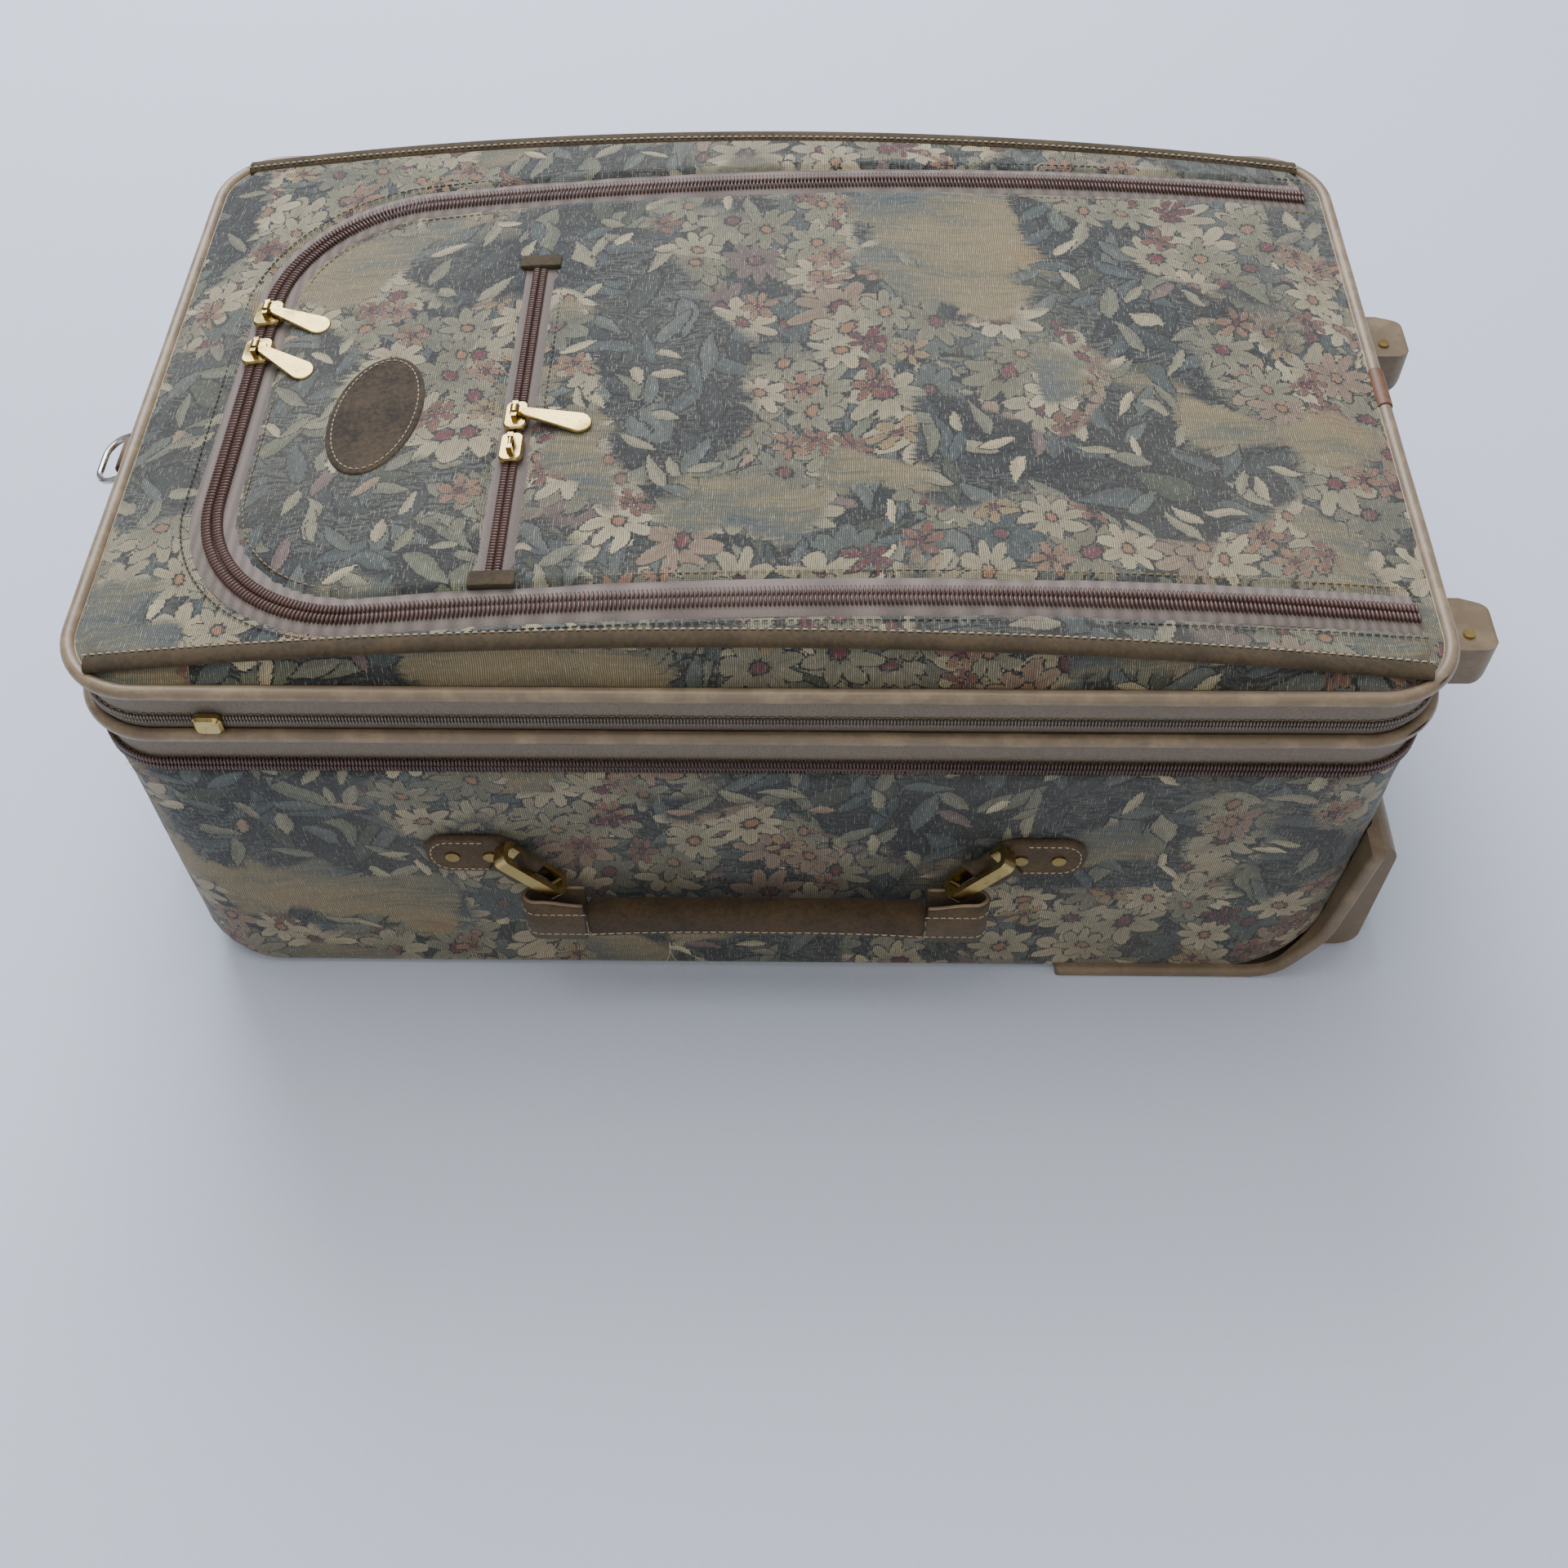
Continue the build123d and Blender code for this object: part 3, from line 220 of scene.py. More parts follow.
@dataclass(frozen=True)
class Tapestry:
    """Floral tapestry, woven of spun yarn on a jacquard loom. Sizes are in millimetres.

    The eye sees upright ribs, flowers with stepped edges, and pale threads that float over
    them. Such a cloth's ribs are about half as far apart as rib, which is what shows.
    """

    rib: float = 0.9
    pick: float = 0.6
    dark: str = "#1f2122"
    shade: str = "#3d4343"
    cell_seed: tuple[float, float, float] = (61.0, 118.0, 0.0)
    top_to_side: float = 431.0
    fine_streak: float = 2.4
    loose_streak: float = 15.0
    leaf_patch: float = 0.0075
    leaves: tuple[Leaf, ...] = (
        Leaf(34.0, 3.1, 0.64, 0.20, 0.9, SLATES),
        Leaf(27.0, 8.3, 0.62, 0.19, 0.85, SLATES),
        Leaf(21.0, 15.7, 0.60, 0.20, 0.8, GREYS),
        Leaf(15.0, 21.9, 0.60, 0.21, 0.3, CREAMS),
    )
    blossoms: tuple[Blossom, ...] = (
        Blossom(33.0, 31.3, 9.0, 0.80, GREYS, "#7a5150"),
        Blossom(36.0, 43.9, 8.0, 0.85, CREAMS, "#7d4448"),
        Blossom(29.0, 57.3, 8.0, 0.60, CREAMS, "#a9805f"),
        Blossom(19.0, 71.9, 6.0, 0.26, WARM, "#6f3b42"),
    )

    def flat_place(self, graph: Graph) -> Value:
        """The cloth's own flat place: from above on top, and from the side elsewhere.

        Args:
            graph: The cloth's tree.

        Returns:
            Place along and up the cloth in millimetres.
        """
        add = graph.add
        spot = add("SeparateXYZ", graph.place).node.outputs
        facing = add("VectorMath ABSOLUTE", graph.coordinates["Normal"])
        turn = add("SeparateXYZ", facing).node.outputs
        on_top = add("Math GREATER_THAN", turn[2], 0.6)
        on_end = add("Math GREATER_THAN", turn[0], turn[1])
        along = add("Mix FLOAT", on_end, spot[0], spot[1])
        along = add("Mix FLOAT", on_top, along, spot[0])
        up = add("Mix FLOAT", on_top, add("Math ADD", spot[2], self.top_to_side), spot[1])
        return add("VectorMath ADD", add("CombineXYZ", along, up), self.cell_seed)

    def woven(self, graph: Graph, place: Value, streak: float) -> Value:
        """Moves a place to the nearest thread crossing, so that edges come out stepped.

        Args:
            graph: The cloth's tree.
            place: Flat place in millimetres.
            streak: How far single wefts run aside, in millimetres.

        Returns:
            The moved place.
        """
        add = graph.add
        bend = add("TexNoise", place, 0.022)
        row = add("TexNoise", add("VectorMath MULTIPLY", place, (0.05, 0.75, 1.0)), 1.0, 2.0, 0.7)
        shift = add("Math MULTIPLY", add("Math SUBTRACT", bend, 0.5), 22.0)
        aside = add("Math MULTIPLY_ADD", add("Math SUBTRACT", row, 0.5), streak, shift)
        moved = add("VectorMath ADD", place, add("CombineXYZ", aside, shift))
        return add("VectorMath SNAP", moved, (self.rib, self.pick, 1.0))

    def cells(self, graph: Graph, place: Value, size: float, shift: float) -> tuple:
        """Scatters cells of a size, each turned at random.

        Args:
            graph: The cloth's tree.
            place: Flat place in millimetres.
            size: A cell's size in millimetres.
            shift: Sets these cells apart from others.

        Returns:
            The place inside a cell, and the cell's three random numbers.
        """
        add = graph.add
        scaled = add("VectorMath MULTIPLY", place, (1 / size, 1 / size, 0.0))
        scaled = add("VectorMath ADD", scaled, (shift, shift * 1.7, 0.0))
        made = add("TexVoronoi 2D", scaled, Scale=1.0, Randomness=0.8).node.outputs
        chance = add("SeparateColor", made["Color"]).node.outputs
        local = add("VectorMath SUBTRACT", scaled, made["Position"])
        angle = add("Math MULTIPLY", chance[0], math.tau)
        turned = add("VectorRotate Z_AXIS", local, angle)
        return add("SeparateXYZ", turned).node.outputs, chance

    def add_leaf(self, graph: Graph, place: Value, leaf: Leaf, region: Value,
                 colour: Value) -> Value:
        """Lays one kind of leaf, with its veins, over a colour.

        Args:
            graph: The cloth's tree.
            place: Flat place in millimetres.
            leaf: The kind of leaf.
            region: 1 where leaves may lie.
            colour: What lies under them.

        Returns:
            The new colour.
        """
        add = graph.add
        spot, chance = self.cells(graph, place, leaf.cell, leaf.shift)
        along = add("Math ABSOLUTE", add("Math DIVIDE", spot[0], leaf.length))
        along = add("Math POWER", along, 2.0)
        aside = add("Math ABSOLUTE", add("Math DIVIDE", spot[1], leaf.width))
        inside = add("Math SUBTRACT", add("Math SUBTRACT", 1.0, along), aside)
        present = add("Math LESS_THAN", chance[2], leaf.share)
        mask = add("Math MULTIPLY", add("MapRange", inside, 0.01, 0.03), present)
        mask = add("Math MULTIPLY", mask, region)
        rays = add("Math MULTIPLY", aside, 4.0)
        rays = add("Math ADD", add("Math MULTIPLY", spot[0], 26.0), rays)
        veins = add("MapRange", add("Math SINE", rays), 0.55, 0.95)
        rib = add("Math SUBTRACT", 1.0, add("MapRange", aside, 0.08, 0.16))
        light = add("Math MULTIPLY_ADD", add("Math GREATER_THAN", spot[1], 0.0), 0.17, 0.86)
        lines = add("Math MULTIPLY", add("Math MAXIMUM", veins, rib), 0.16)
        light = add("Math ADD", light, lines)
        tone = add("ValToRGB CONSTANT", chance[1], stops=leaf.tones)
        tone = add("VectorMath SCALE", tone, light)
        tone = add("Mix RGBA", add("MapRange", inside, 0.18, 0.22), linear(self.dark), tone)
        return add("Mix RGBA", mask, colour, tone)

    def add_blossom(self, graph: Graph, place: Value, flower: Blossom, region: Value,
                    colour: Value) -> Value:
        """Lays one kind of flower over a colour: oval petals round a small centre.

        Args:
            graph: The cloth's tree.
            place: Flat place in millimetres.
            flower: The kind of flower.
            region: 1 where flowers may lie.
            colour: What lies under them.

        Returns:
            The new colour.
        """
        add = graph.add
        spot, chance = self.cells(graph, place, flower.cell, flower.shift)
        squared = add("Math ADD", add("Math POWER", spot[0], 2.0), add("Math POWER", spot[1], 2.0))
        radius = add("Math SQRT", squared)
        bearing = add("Math ARCTAN2", spot[1], spot[0])
        bearing = add("Math MULTIPLY", bearing, flower.petals / math.tau)
        turn = add("Math FRACT", add("Math ADD", bearing, 64.5))
        angle = add("Math MULTIPLY", add("Math SUBTRACT", turn, 0.5), math.tau / flower.petals)
        out = add("Math MULTIPLY", radius, add("Math COSINE", angle))
        side = add("Math MULTIPLY", radius, add("Math SINE", angle))
        along = add("Math SUBTRACT", out, flower.petal_reach)
        along = add("Math DIVIDE", along, flower.petal_length)
        aside = add("Math DIVIDE", side, flower.petal_width)
        inside = add("Math ADD", add("Math POWER", add("Math ABSOLUTE", along), 2.0),
                     add("Math POWER", add("Math ABSOLUTE", aside), 2.0))
        inside = add("Math SUBTRACT", 1.0, inside)
        present = add("Math MULTIPLY", add("Math LESS_THAN", chance[2], flower.share), region)
        mask = add("Math MULTIPLY", add("MapRange", inside, -0.02, 0.02), present)
        number = add("Math FLOOR", add("Math ADD", bearing, 64.5))
        petal = add("Math FRACT", add("Math MULTIPLY", number, 0.377))
        light = add("Math MULTIPLY_ADD", petal, 0.16, 0.80)
        light = add("Math ADD", light, add("Math MULTIPLY", along, 0.10))
        fold = add("MapRange", add("Math ABSOLUTE", aside), 0.07, 0.17)
        fold = add("Math MULTIPLY", add("Math SUBTRACT", 1.0, fold), 0.13)
        light = add("Math SUBTRACT", light, fold)
        tone = add("ValToRGB CONSTANT", chance[1], stops=flower.tones)
        tone = add("VectorMath SCALE", tone, light)
        tone = add("Mix RGBA", add("MapRange", inside, 0.21, 0.29), linear("#292a29"), tone)
        colour = add("Mix RGBA", mask, colour, tone)
        edge = flower.centre_radius
        heart = add("Math SUBTRACT", 1.0, add("MapRange", radius, edge - 0.01, edge + 0.01))
        heart = add("Math MULTIPLY", heart, present)
        return add("Mix RGBA", heart, colour, linear(flower.centre))

    def ground(self, graph: Graph, place: Value) -> Value:
        """The woven ground: straw with long streaks of slate and peach.

        Args:
            graph: The cloth's tree.
            place: Flat place in millimetres.

        Returns:
            The ground's colour.
        """
        add = graph.add
        wide = add("VectorMath MULTIPLY", place, (0.007, 0.016, 1.0))
        long = add("VectorMath MULTIPLY", place, (0.028, 0.5, 1.0))
        cloud = add("TexNoise", wide, 1.0, 3.0, 0.6)
        streak = add("TexNoise", long, 1.0, 3.0, 0.75)
        tone = add("Math MULTIPLY_ADD", streak, 0.42, add("Math MULTIPLY", cloud, 0.75))
        return add("ValToRGB LINEAR", tone, stops=STRAW)

    def build(self) -> bpy.types.Material:
        """Draws the ground, the dark leafy patches and the flowers, then weaves them.

        Returns:
            The cloth's material.
        """
        graph = Graph("jacquard_tapestry")
        add = graph.add
        flat = self.flat_place(graph)
        place = self.woven(graph, flat, self.fine_streak)
        loose = self.woven(graph, flat, self.loose_streak)
        patches = add("TexNoise", loose, self.leaf_patch, 2.0, 0.55)
        leafy = add("MapRange", patches, 0.417, 0.433)
        near_leafy = add("MapRange", patches, 0.402, 0.418)
        deep = add("MapRange", add("TexNoise", loose, 0.010), 0.45, 0.55)
        base = add("Mix RGBA", deep, linear(self.shade), linear("#666b65"))
        rows = add("VectorMath MULTIPLY", place, (0.10, 0.9, 1.0))
        hatch = add("MapRange", add("TexNoise", rows, 1.0, 2.0, 0.8), 0.44, 0.56)
        base = add("Mix RGBA", hatch, linear(self.dark), base)
        colour = add("Mix RGBA", leafy, self.ground(graph, place), base)
        moved = add("VectorMath ADD", loose, (310.0, 90.0, 0.0))
        flowery = add("MapRange", add("TexNoise", moved, 0.0085, 1.0), 0.48, 0.50)
        for leaf in self.leaves:
            colour = self.add_leaf(graph, place, leaf, near_leafy, colour)
        bloom = add("Math MULTIPLY", flowery, near_leafy)
        for flower in self.blossoms:
            colour = self.add_blossom(graph, place, flower, bloom, colour)
        return self.threads(graph, flat, colour)

    def threads(self, graph: Graph, flat: Value, colour: Value) -> bpy.types.Material:
        """Lays ribs with painted shade in the grooves between them, pale floats, specks and wear
        over the woven colours.

        Args:
            graph: The cloth's tree.
            flat: Flat place in millimetres.
            colour: The pattern's colour.

        Returns:
            The cloth's material.
        """
        add = graph.add
        spot = add("SeparateXYZ", flat).node.outputs
        waver = add("Math MULTIPLY", add("TexNoise", flat, 0.06), 2.6)
        turn = add("Math MULTIPLY", add("Math ADD", spot[0], waver), math.tau / self.rib)
        wave = add("Math SINE", turn)
        cross = add("Math SINE", add("Math MULTIPLY", spot[1], math.tau / self.pick))
        stretched = add("VectorMath MULTIPLY", flat, (1 / self.rib, 0.16, 1.0))
        thread = add("TexNoise", stretched, 1.0, 2.0, 0.8)
        pale = add("Math MULTIPLY", add("MapRange", thread, 0.55, 0.65),
                   add("MapRange", wave, -0.3, 0.5))
        colour = add("Mix RGBA", add("Math MULTIPLY", pale, 0.42), colour, linear("#d8d0b9"))
        # Painted shade: the grooves between the ribs are darkened towards near black.
        rib_hollow_shade = add("MapRange", add("Math MULTIPLY", wave, -1.0), -0.3, 0.7)
        colour = add("Mix RGBA", add("Math MULTIPLY", rib_hollow_shade, 0.62), colour, linear("#2f2e2a"))
        speck = add("MapRange", add("TexNoise", flat, 1.3, 1.0, 0.9), 0.67, 0.73)
        colour = add("Mix RGBA", add("Math MULTIPLY", speck, 0.5), colour, linear("#e0dac6"))
        worn = add("MapRange", add("TexNoise", flat, 0.006, 3.0), 0.43, 0.67)
        colour = add("Mix RGBA", add("Math MULTIPLY", worn, 0.14), colour, linear("#a09b8b"))
        colour = add("Gamma", colour, 1.2)
        height = add("Math MULTIPLY_ADD", wave, 0.5, add("Math MULTIPLY", cross, 0.25))
        normal = add("Bump", Height=height, Strength=0.6, Distance=0.25 * MM)
        return graph.close(add("BsdfPrincipled", Base_Color=colour, Roughness=0.8, Normal=normal,
                               Sheen_Weight=0.2, Sheen_Roughness=0.5))


@dataclass(frozen=True)
class Suede:
    """Split cowhide with a raised nap, which soaks up light and goes pale where it is rubbed.

    The nap's grain is in millimetres.
    """

    name: str
    colour: str
    worn: str
    grain: float = 0.35

    def build(self) -> bpy.types.Material:
        """Draws the suede.

        Returns:
            Its material.
        """
        graph = Graph(self.name)
        add, place = graph.add, graph.place
        nap = add("TexNoise", place, 1 / self.grain, 3.0, 0.7)
        patch = add("TexNoise", place, 0.05, 4.0, 0.65)
        mottle = add("TexNoise", place, 0.45, 4.0, 0.7)
        both = add("Math MULTIPLY_ADD", mottle, 0.5, add("Math MULTIPLY", patch, 0.5))
        rubbed = add("MapRange", both, 0.41, 0.59)
        colour = add("Mix RGBA", rubbed, linear(self.colour), linear(self.worn))
        roots = add("Math MULTIPLY", add("MapRange", nap, 0.3, 0.7), 0.5)
        colour = add("Mix RGBA", roots, colour, linear("#2a221a"))
        normal = add("Bump", Height=nap, Strength=0.6, Distance=0.4 * MM)
        return graph.close(add("BsdfPrincipled", Base_Color=colour, Roughness=0.95, Normal=normal,
                               Sheen_Weight=0.08, Sheen_Roughness=0.5))


@dataclass(frozen=True)
class Vinyl:
    """Smooth vinyl, leather or moulded plastic with scuffs and dirt in its scratches.

    The surface's grain is in millimetres.
    """

    name: str
    colour: str
    scuffed: str
    dirt: str
    roughness: float = 0.4
    grain: float = 0.6

    def build(self) -> bpy.types.Material:
        """Draws the surface.

        Returns:
            Its material.
        """
        graph = Graph(self.name)
        add, place = graph.add, graph.place
        wear = add("TexNoise", place, 0.06, 5.0, 0.7)
        fine = add("TexNoise", place, 1 / self.grain, 3.0, 0.6)
        stretched = add("VectorMath MULTIPLY", place, (0.12, 1.4, 1.4))
        scratch = add("TexNoise", stretched, 1.0, 4.0, 0.7)
        scuffs = add("MapRange", wear, 0.46, 0.66)
        colour = add("Mix RGBA", scuffs, linear(self.colour), linear(self.scuffed))
        soiled = add("Math MULTIPLY", add("MapRange", scratch, 0.61, 0.71), 0.6)
        colour = add("Mix RGBA", soiled, colour, linear(self.dirt))
        rough = add("Math MULTIPLY_ADD", wear, 0.35, self.roughness - 0.12)
        height = add("Math MULTIPLY_ADD", scratch, 0.6, add("Math MULTIPLY", fine, 0.4))
        normal = add("Bump", Height=height, Strength=0.35, Distance=0.4 * MM)
        return graph.close(add("BsdfPrincipled", Base_Color=colour, Roughness=rough, Normal=normal))


@dataclass(frozen=True)
class Tape:
    """Woven polyester zip tape, a matt herringbone.

    The pitch is in millimetres, and is drawn about twice as coarse as the real one to show.
    """

    name: str
    colour: str
    shade: str
    pitch: float = 1.1

    def build(self) -> bpy.types.Material:
        """Draws the tape.

        Returns:
            Its material.
        """
        graph = Graph(self.name)
        add, place = graph.add, graph.place
        spot = add("SeparateXYZ", place).node.outputs
        level = add("Math ADD", spot[0], spot[1])
        weave = [
            add("Math SINE", add("Math MULTIPLY", add(f"Math {way}", level, spot[2]),
                                 math.tau / self.pitch))
            for way in ("ADD", "SUBTRACT")
        ]
        cloud = add("TexNoise", place, 0.08, 3.0)
        fleck = add("TexNoise", place, 1.4, 2.0, 0.8)
        mixed = add("Math MULTIPLY_ADD", add("Math MULTIPLY", *weave), 0.34,
                    add("Math MULTIPLY", fleck, 0.9))
        # Painted shade on the weave's grooves, which follow its relief, mixed with random flecks of
        # the yarn's own tone.
        lit = add("MapRange", mixed, 0.2, 0.7)
        colour = add("Mix RGBA", lit, linear(self.shade), linear(self.colour))
        colour = add("Mix RGBA", add("Math MULTIPLY", cloud, 0.25), colour, linear("#5c534c"))
        normal = add("Bump", Height=mixed, Strength=0.5, Distance=0.3 * MM)
        return graph.close(add("BsdfPrincipled", Base_Color=colour, Roughness=0.85, Normal=normal,
                               Sheen_Weight=0.15))


@dataclass(frozen=True)
class Metal:
    """Cast or drawn metal, polished and plated, with tarnish spots and fine scratches."""

    name: str
    colour: str
    roughness: float
    tarnish: str

    def build(self) -> bpy.types.Material:
        """Draws the metal.

        Returns:
            Its material.
        """
        graph = Graph(self.name)
        add, place = graph.add, graph.place
        spots = add("MapRange", add("TexNoise", place, 0.5, 4.0, 0.7), 0.54, 0.70)
        stretched = add("VectorMath MULTIPLY", place, (0.4, 3.0, 3.0))
        scratch = add("TexNoise", stretched, 1.0, 3.0)
        colour = add("Mix RGBA", spots, linear(self.colour), linear(self.tarnish))
        rough = add("Math MULTIPLY_ADD", scratch, 0.22, self.roughness - 0.08)
        wave = add("TexNoise", place, 0.07, 0.0)
        height = add("Math MULTIPLY_ADD", wave, 9.0, add("Math MULTIPLY", scratch, 0.15))
        normal = add("Bump", Height=height, Strength=0.5, Distance=0.5 * MM)
        return graph.close(add("BsdfPrincipled", Base_Color=colour, Roughness=rough, Normal=normal,
                               Metallic=1.0))


@dataclass(frozen=True)
class Plain:
    """An even material with a fine grain, given in millimetres."""

    name: str
    colour: str
    shade: str
    roughness: float
    grain: float = 0.8

    def build(self) -> bpy.types.Material:
        """Draws the surface.

        Returns:
            Its material.
        """
        graph = Graph(self.name)
        add, place = graph.add, graph.place
        grain = add("TexNoise", place, 1 / self.grain, 3.0, 0.6)
        cloud = add("TexNoise", place, 0.04, 3.0)
        tone = add("Math MULTIPLY_ADD", grain, 0.6, add("Math MULTIPLY", cloud, 0.4))
        lit = add("MapRange", tone, 0.32, 0.68)
        colour = add("Mix RGBA", lit, linear(self.shade), linear(self.colour))
        normal = add("Bump", Height=grain, Strength=0.3, Distance=0.3 * MM)
        return graph.close(add("BsdfPrincipled", Base_Color=colour, Roughness=self.roughness,
                               Normal=normal))


class Finish(Enum):
    """Every finish on the case."""

    TAPESTRY = Tapestry()
    # Cowhide suede: matt, brown, mottled where hands rub it.
    SUEDE = Suede("suede_tabs", "#4f3f2b", "#6c573c")
    DARK_SUEDE = Suede("suede_dark", "#403523", "#594a32")
    GRIP = Suede("suede_grip", "#3d2f1c", "#5a462b", 0.5)
    PATCH_SUEDE = Suede("suede_patch", "#2b231a", "#554734")
    # Finished leather: smoother than suede, with a low sheen and dark creases.
    LEATHER = Vinyl("brown_leather", "#6b5238", "#84684a", "#3a2c20", 0.5)
    SLEEVE = Vinyl("sleeve_leather", "#6e4c36", "#8a6248", "#3e2b20", 0.45)
    # Extruded soft vinyl: a long clear highlight, broken by scuffs.
    PIPING = Vinyl("piping_vinyl", "#84725c", "#9f8b6e", "#54462f", 0.28)
    # Injection-moulded plastic: an even satin with rubbed corners.
    MOULDED = Vinyl("moulded_plastic", "#76654e", "#8a775d", "#4d4235", 0.4, 0.4)
    # Woven polyester tape: dull, with a fine slanted weave.
    TAPE = Tape("zip_tape", "#8a7d75", "#655a54")
    SIDE_TAPE = Tape("expansion_tape", "#9b8d7c", "#5f5549")
    # Drawn nylon coil: small glints along each tooth.
    TEETH = Plain("zip_coil_nylon", "#6b5048", "#452f2a", 0.25, 0.5)
    FINE_TEETH = Plain("fine_coil_nylon", "#8d8278", "#6a6058", 0.3, 0.5)
    # Die-cast zinc plated with brass: bright and pale, or duller where it is old.
    BRASS = Metal("pale_brass", "#bda56a", 0.2, "#937a4a")
    AGED_BRASS = Metal("aged_brass", "#a8905c", 0.3, "#75623c")
    # Nickel-plated steel wire: a cool mirror with fine scratches.
    NICKEL = Metal("nickel", "#cfccc6", 0.2, "#9a968f")
    # Drawn and anodised aluminium: a soft grey streak along the tube.
    ALUMINIUM = Metal("aluminium_tube", "#b9babd", 0.35, "#9c9da0")
    # Moulded rubber and black plastic: dark, matt or faintly glossy.
    RUBBER = Plain("wheel_rubber", "#232323", "#181818", 0.75)
    BLACK_PLASTIC = Plain("black_plastic", "#262524", "#1b1a1a", 0.5)
    BUTTON = Plain("button_plastic", "#5d5d5c", "#4b4b4a", 0.35)
    # Woven nylon lining, pressed fibre board and webbing: matt, with a fine grain.
    LINING = Plain("lining_cloth", "#70675a", "#5b5348", 0.9, 0.5)
    BOARD = Plain("fibre_board", "#3d3a36", "#2f2d2a", 0.85)
    WEBBING = Plain("strap_webbing", "#3f3a34", "#2c2925", 0.85, 0.6)
    # Spun polyester thread: matt, pale on suede and dark or tan along the zips.
    THREAD = Plain("pale_thread", "#cfc2a3", "#a8987b", 0.8, 0.4)
    TAN_THREAD = Plain("tan_thread", "#a8936f", "#7d694e", 0.8, 0.4)
    DARK_THREAD = Plain("dark_thread", "#5c564e", "#3d3934", 0.8, 0.4)

    def paint(self, thing: bpy.types.Object) -> None:
        """Gives an object this finish."""
        thing.data.materials.clear()
        thing.data.materials.append(made(self))


@cache
def made(finish: Finish) -> bpy.types.Material:
    """The finish's material, built the first time that it is asked for."""
    return finish.value.build()


# ---------------------------------------------------------------- paths


@dataclass
class Path:
    """A line of points with the surface's normal at each, in metres."""

    points: np.ndarray
    normals: np.ndarray
    closed: bool = False

    def every(self, spacing: float, start: float = 0.0, end: float = 0.0) -> "Path":
        """The path again with points at an even spacing.

        Args:
            spacing: Distance between points in metres.
            start: Length left out at the start.
            end: Length left out at the end.

        Returns:
            The resampled path.
        """
        points, normals = self.points, self.normals
        if self.closed:
            points = np.vstack([points, points[:1]])
            normals = np.vstack([normals, normals[:1]])
        lengths = np.r_[0.0, np.cumsum(np.linalg.norm(np.diff(points, axis=0), axis=1))]
        total = lengths[-1]
        count = round((total - start - end) / spacing) + (0 if self.closed else 1)
        places = np.linspace(start, total - end, max(2, int(count)), endpoint=not self.closed)
        made, turned = [
            np.column_stack([np.interp(places, lengths, values[:, i]) for i in range(3)])
            for values in (points, normals)
        ]
        return Path(made, unit(turned), self.closed)

    def parts(self, count: int) -> "Path":
        """A closed path again as that many evenly spaced points."""
        loop = np.vstack([self.points, self.points[:1]])
        return self.every(np.linalg.norm(np.diff(loop, axis=0), axis=1).sum() / count)

    def tangents(self) -> np.ndarray:
        """The unit direction of travel at each point."""
        if self.closed:
            return unit(np.roll(self.points, -1, axis=0) - np.roll(self.points, 1, axis=0))
        return unit(np.gradient(self.points, axis=0))

    def across(self) -> np.ndarray:
        """The unit direction across the path, in the surface."""
        return unit(np.cross(self.normals, self.tangents()))

    def shifted(self, aside: float, out: float = 0.0) -> "Path":
        """The path moved aside in the surface and out of it."""
        moved = self.points + self.across() * aside + self.normals * out
        return Path(moved, self.normals, self.closed)


def unit(rows: np.ndarray) -> np.ndarray:
    """Rows brought to length 1."""
    return rows / np.linalg.norm(rows, axis=1)[:, None]


def facing(points: np.ndarray, normal: tuple[float, float, float]) -> Path:
    """An open path through points, all of which face one way."""
    points = np.asarray(points, float)
    return Path(points, np.tile(normal, (len(points), 1)))


def from_gap(points: np.ndarray, normals: np.ndarray, keep: np.ndarray) -> Path:
    """The open path that is left where keep holds on a closed one.

    Args:
        points: The closed path's points.
        normals: Their normals.
        keep: Whether each point stays.

    Returns:
        The open path, which starts after the gap's first point.
    """
    first = int(np.argmin(keep))
    order = [i for i in np.roll(np.arange(len(keep)), -first) if keep[i]]
    return Path(points[order], normals[order])


def rounded_corner_line(corners: list[tuple[float, float]], radius: float,
                        steps: int) -> np.ndarray:
    """A flat open line with round corners.

    Args:
        corners: The line's points.
        radius: Radius at each inner point.
        steps: Parts of each round corner.

    Returns:
        Points of the line, two numbers each.
    """
    made = [np.array(corners[0])]
    for before, corner, after in zip(corners, corners[1:], corners[2:]):
        before, corner, after = map(np.array, (before, corner, after))
        back, ahead = unit(np.array([before - corner, after - corner], float))
        half = math.acos(float(np.clip(back @ ahead, -1, 1))) / 2
        middle = corner + unit((back + ahead)[None])[0] * radius / math.sin(half)
        first, last = (corner + way * radius / math.tan(half) - middle for way in (back, ahead))
        sweep = math.copysign(math.pi - 2 * half, first[0] * last[1] - first[1] * last[0])
        for angle in np.linspace(0, sweep, steps + 1):
            cos_a, sin_a = math.cos(angle), math.sin(angle)
            made.append(middle + np.array([[cos_a, -sin_a], [sin_a, cos_a]]) @ first)
    made.append(np.array(corners[-1]))
    return np.array(made)


def rectangle_line(half_x: float, half_y: float, radius: float, steps: int) -> np.ndarray:
    """A closed rectangle with round corners, which starts in the middle of its near side.

    Args:
        half_x: Half of its length.
        half_y: Half of its width.
        radius: Radius of its corners.
        steps: Parts of each round corner.

    Returns:
        Points of the line, two numbers each.
    """
    corners = [(0, -half_y), (half_x, -half_y), (half_x, half_y), (-half_x, half_y),
               (-half_x, -half_y), (0, -half_y)]
    return rounded_corner_line(corners, radius, steps)[:-1]


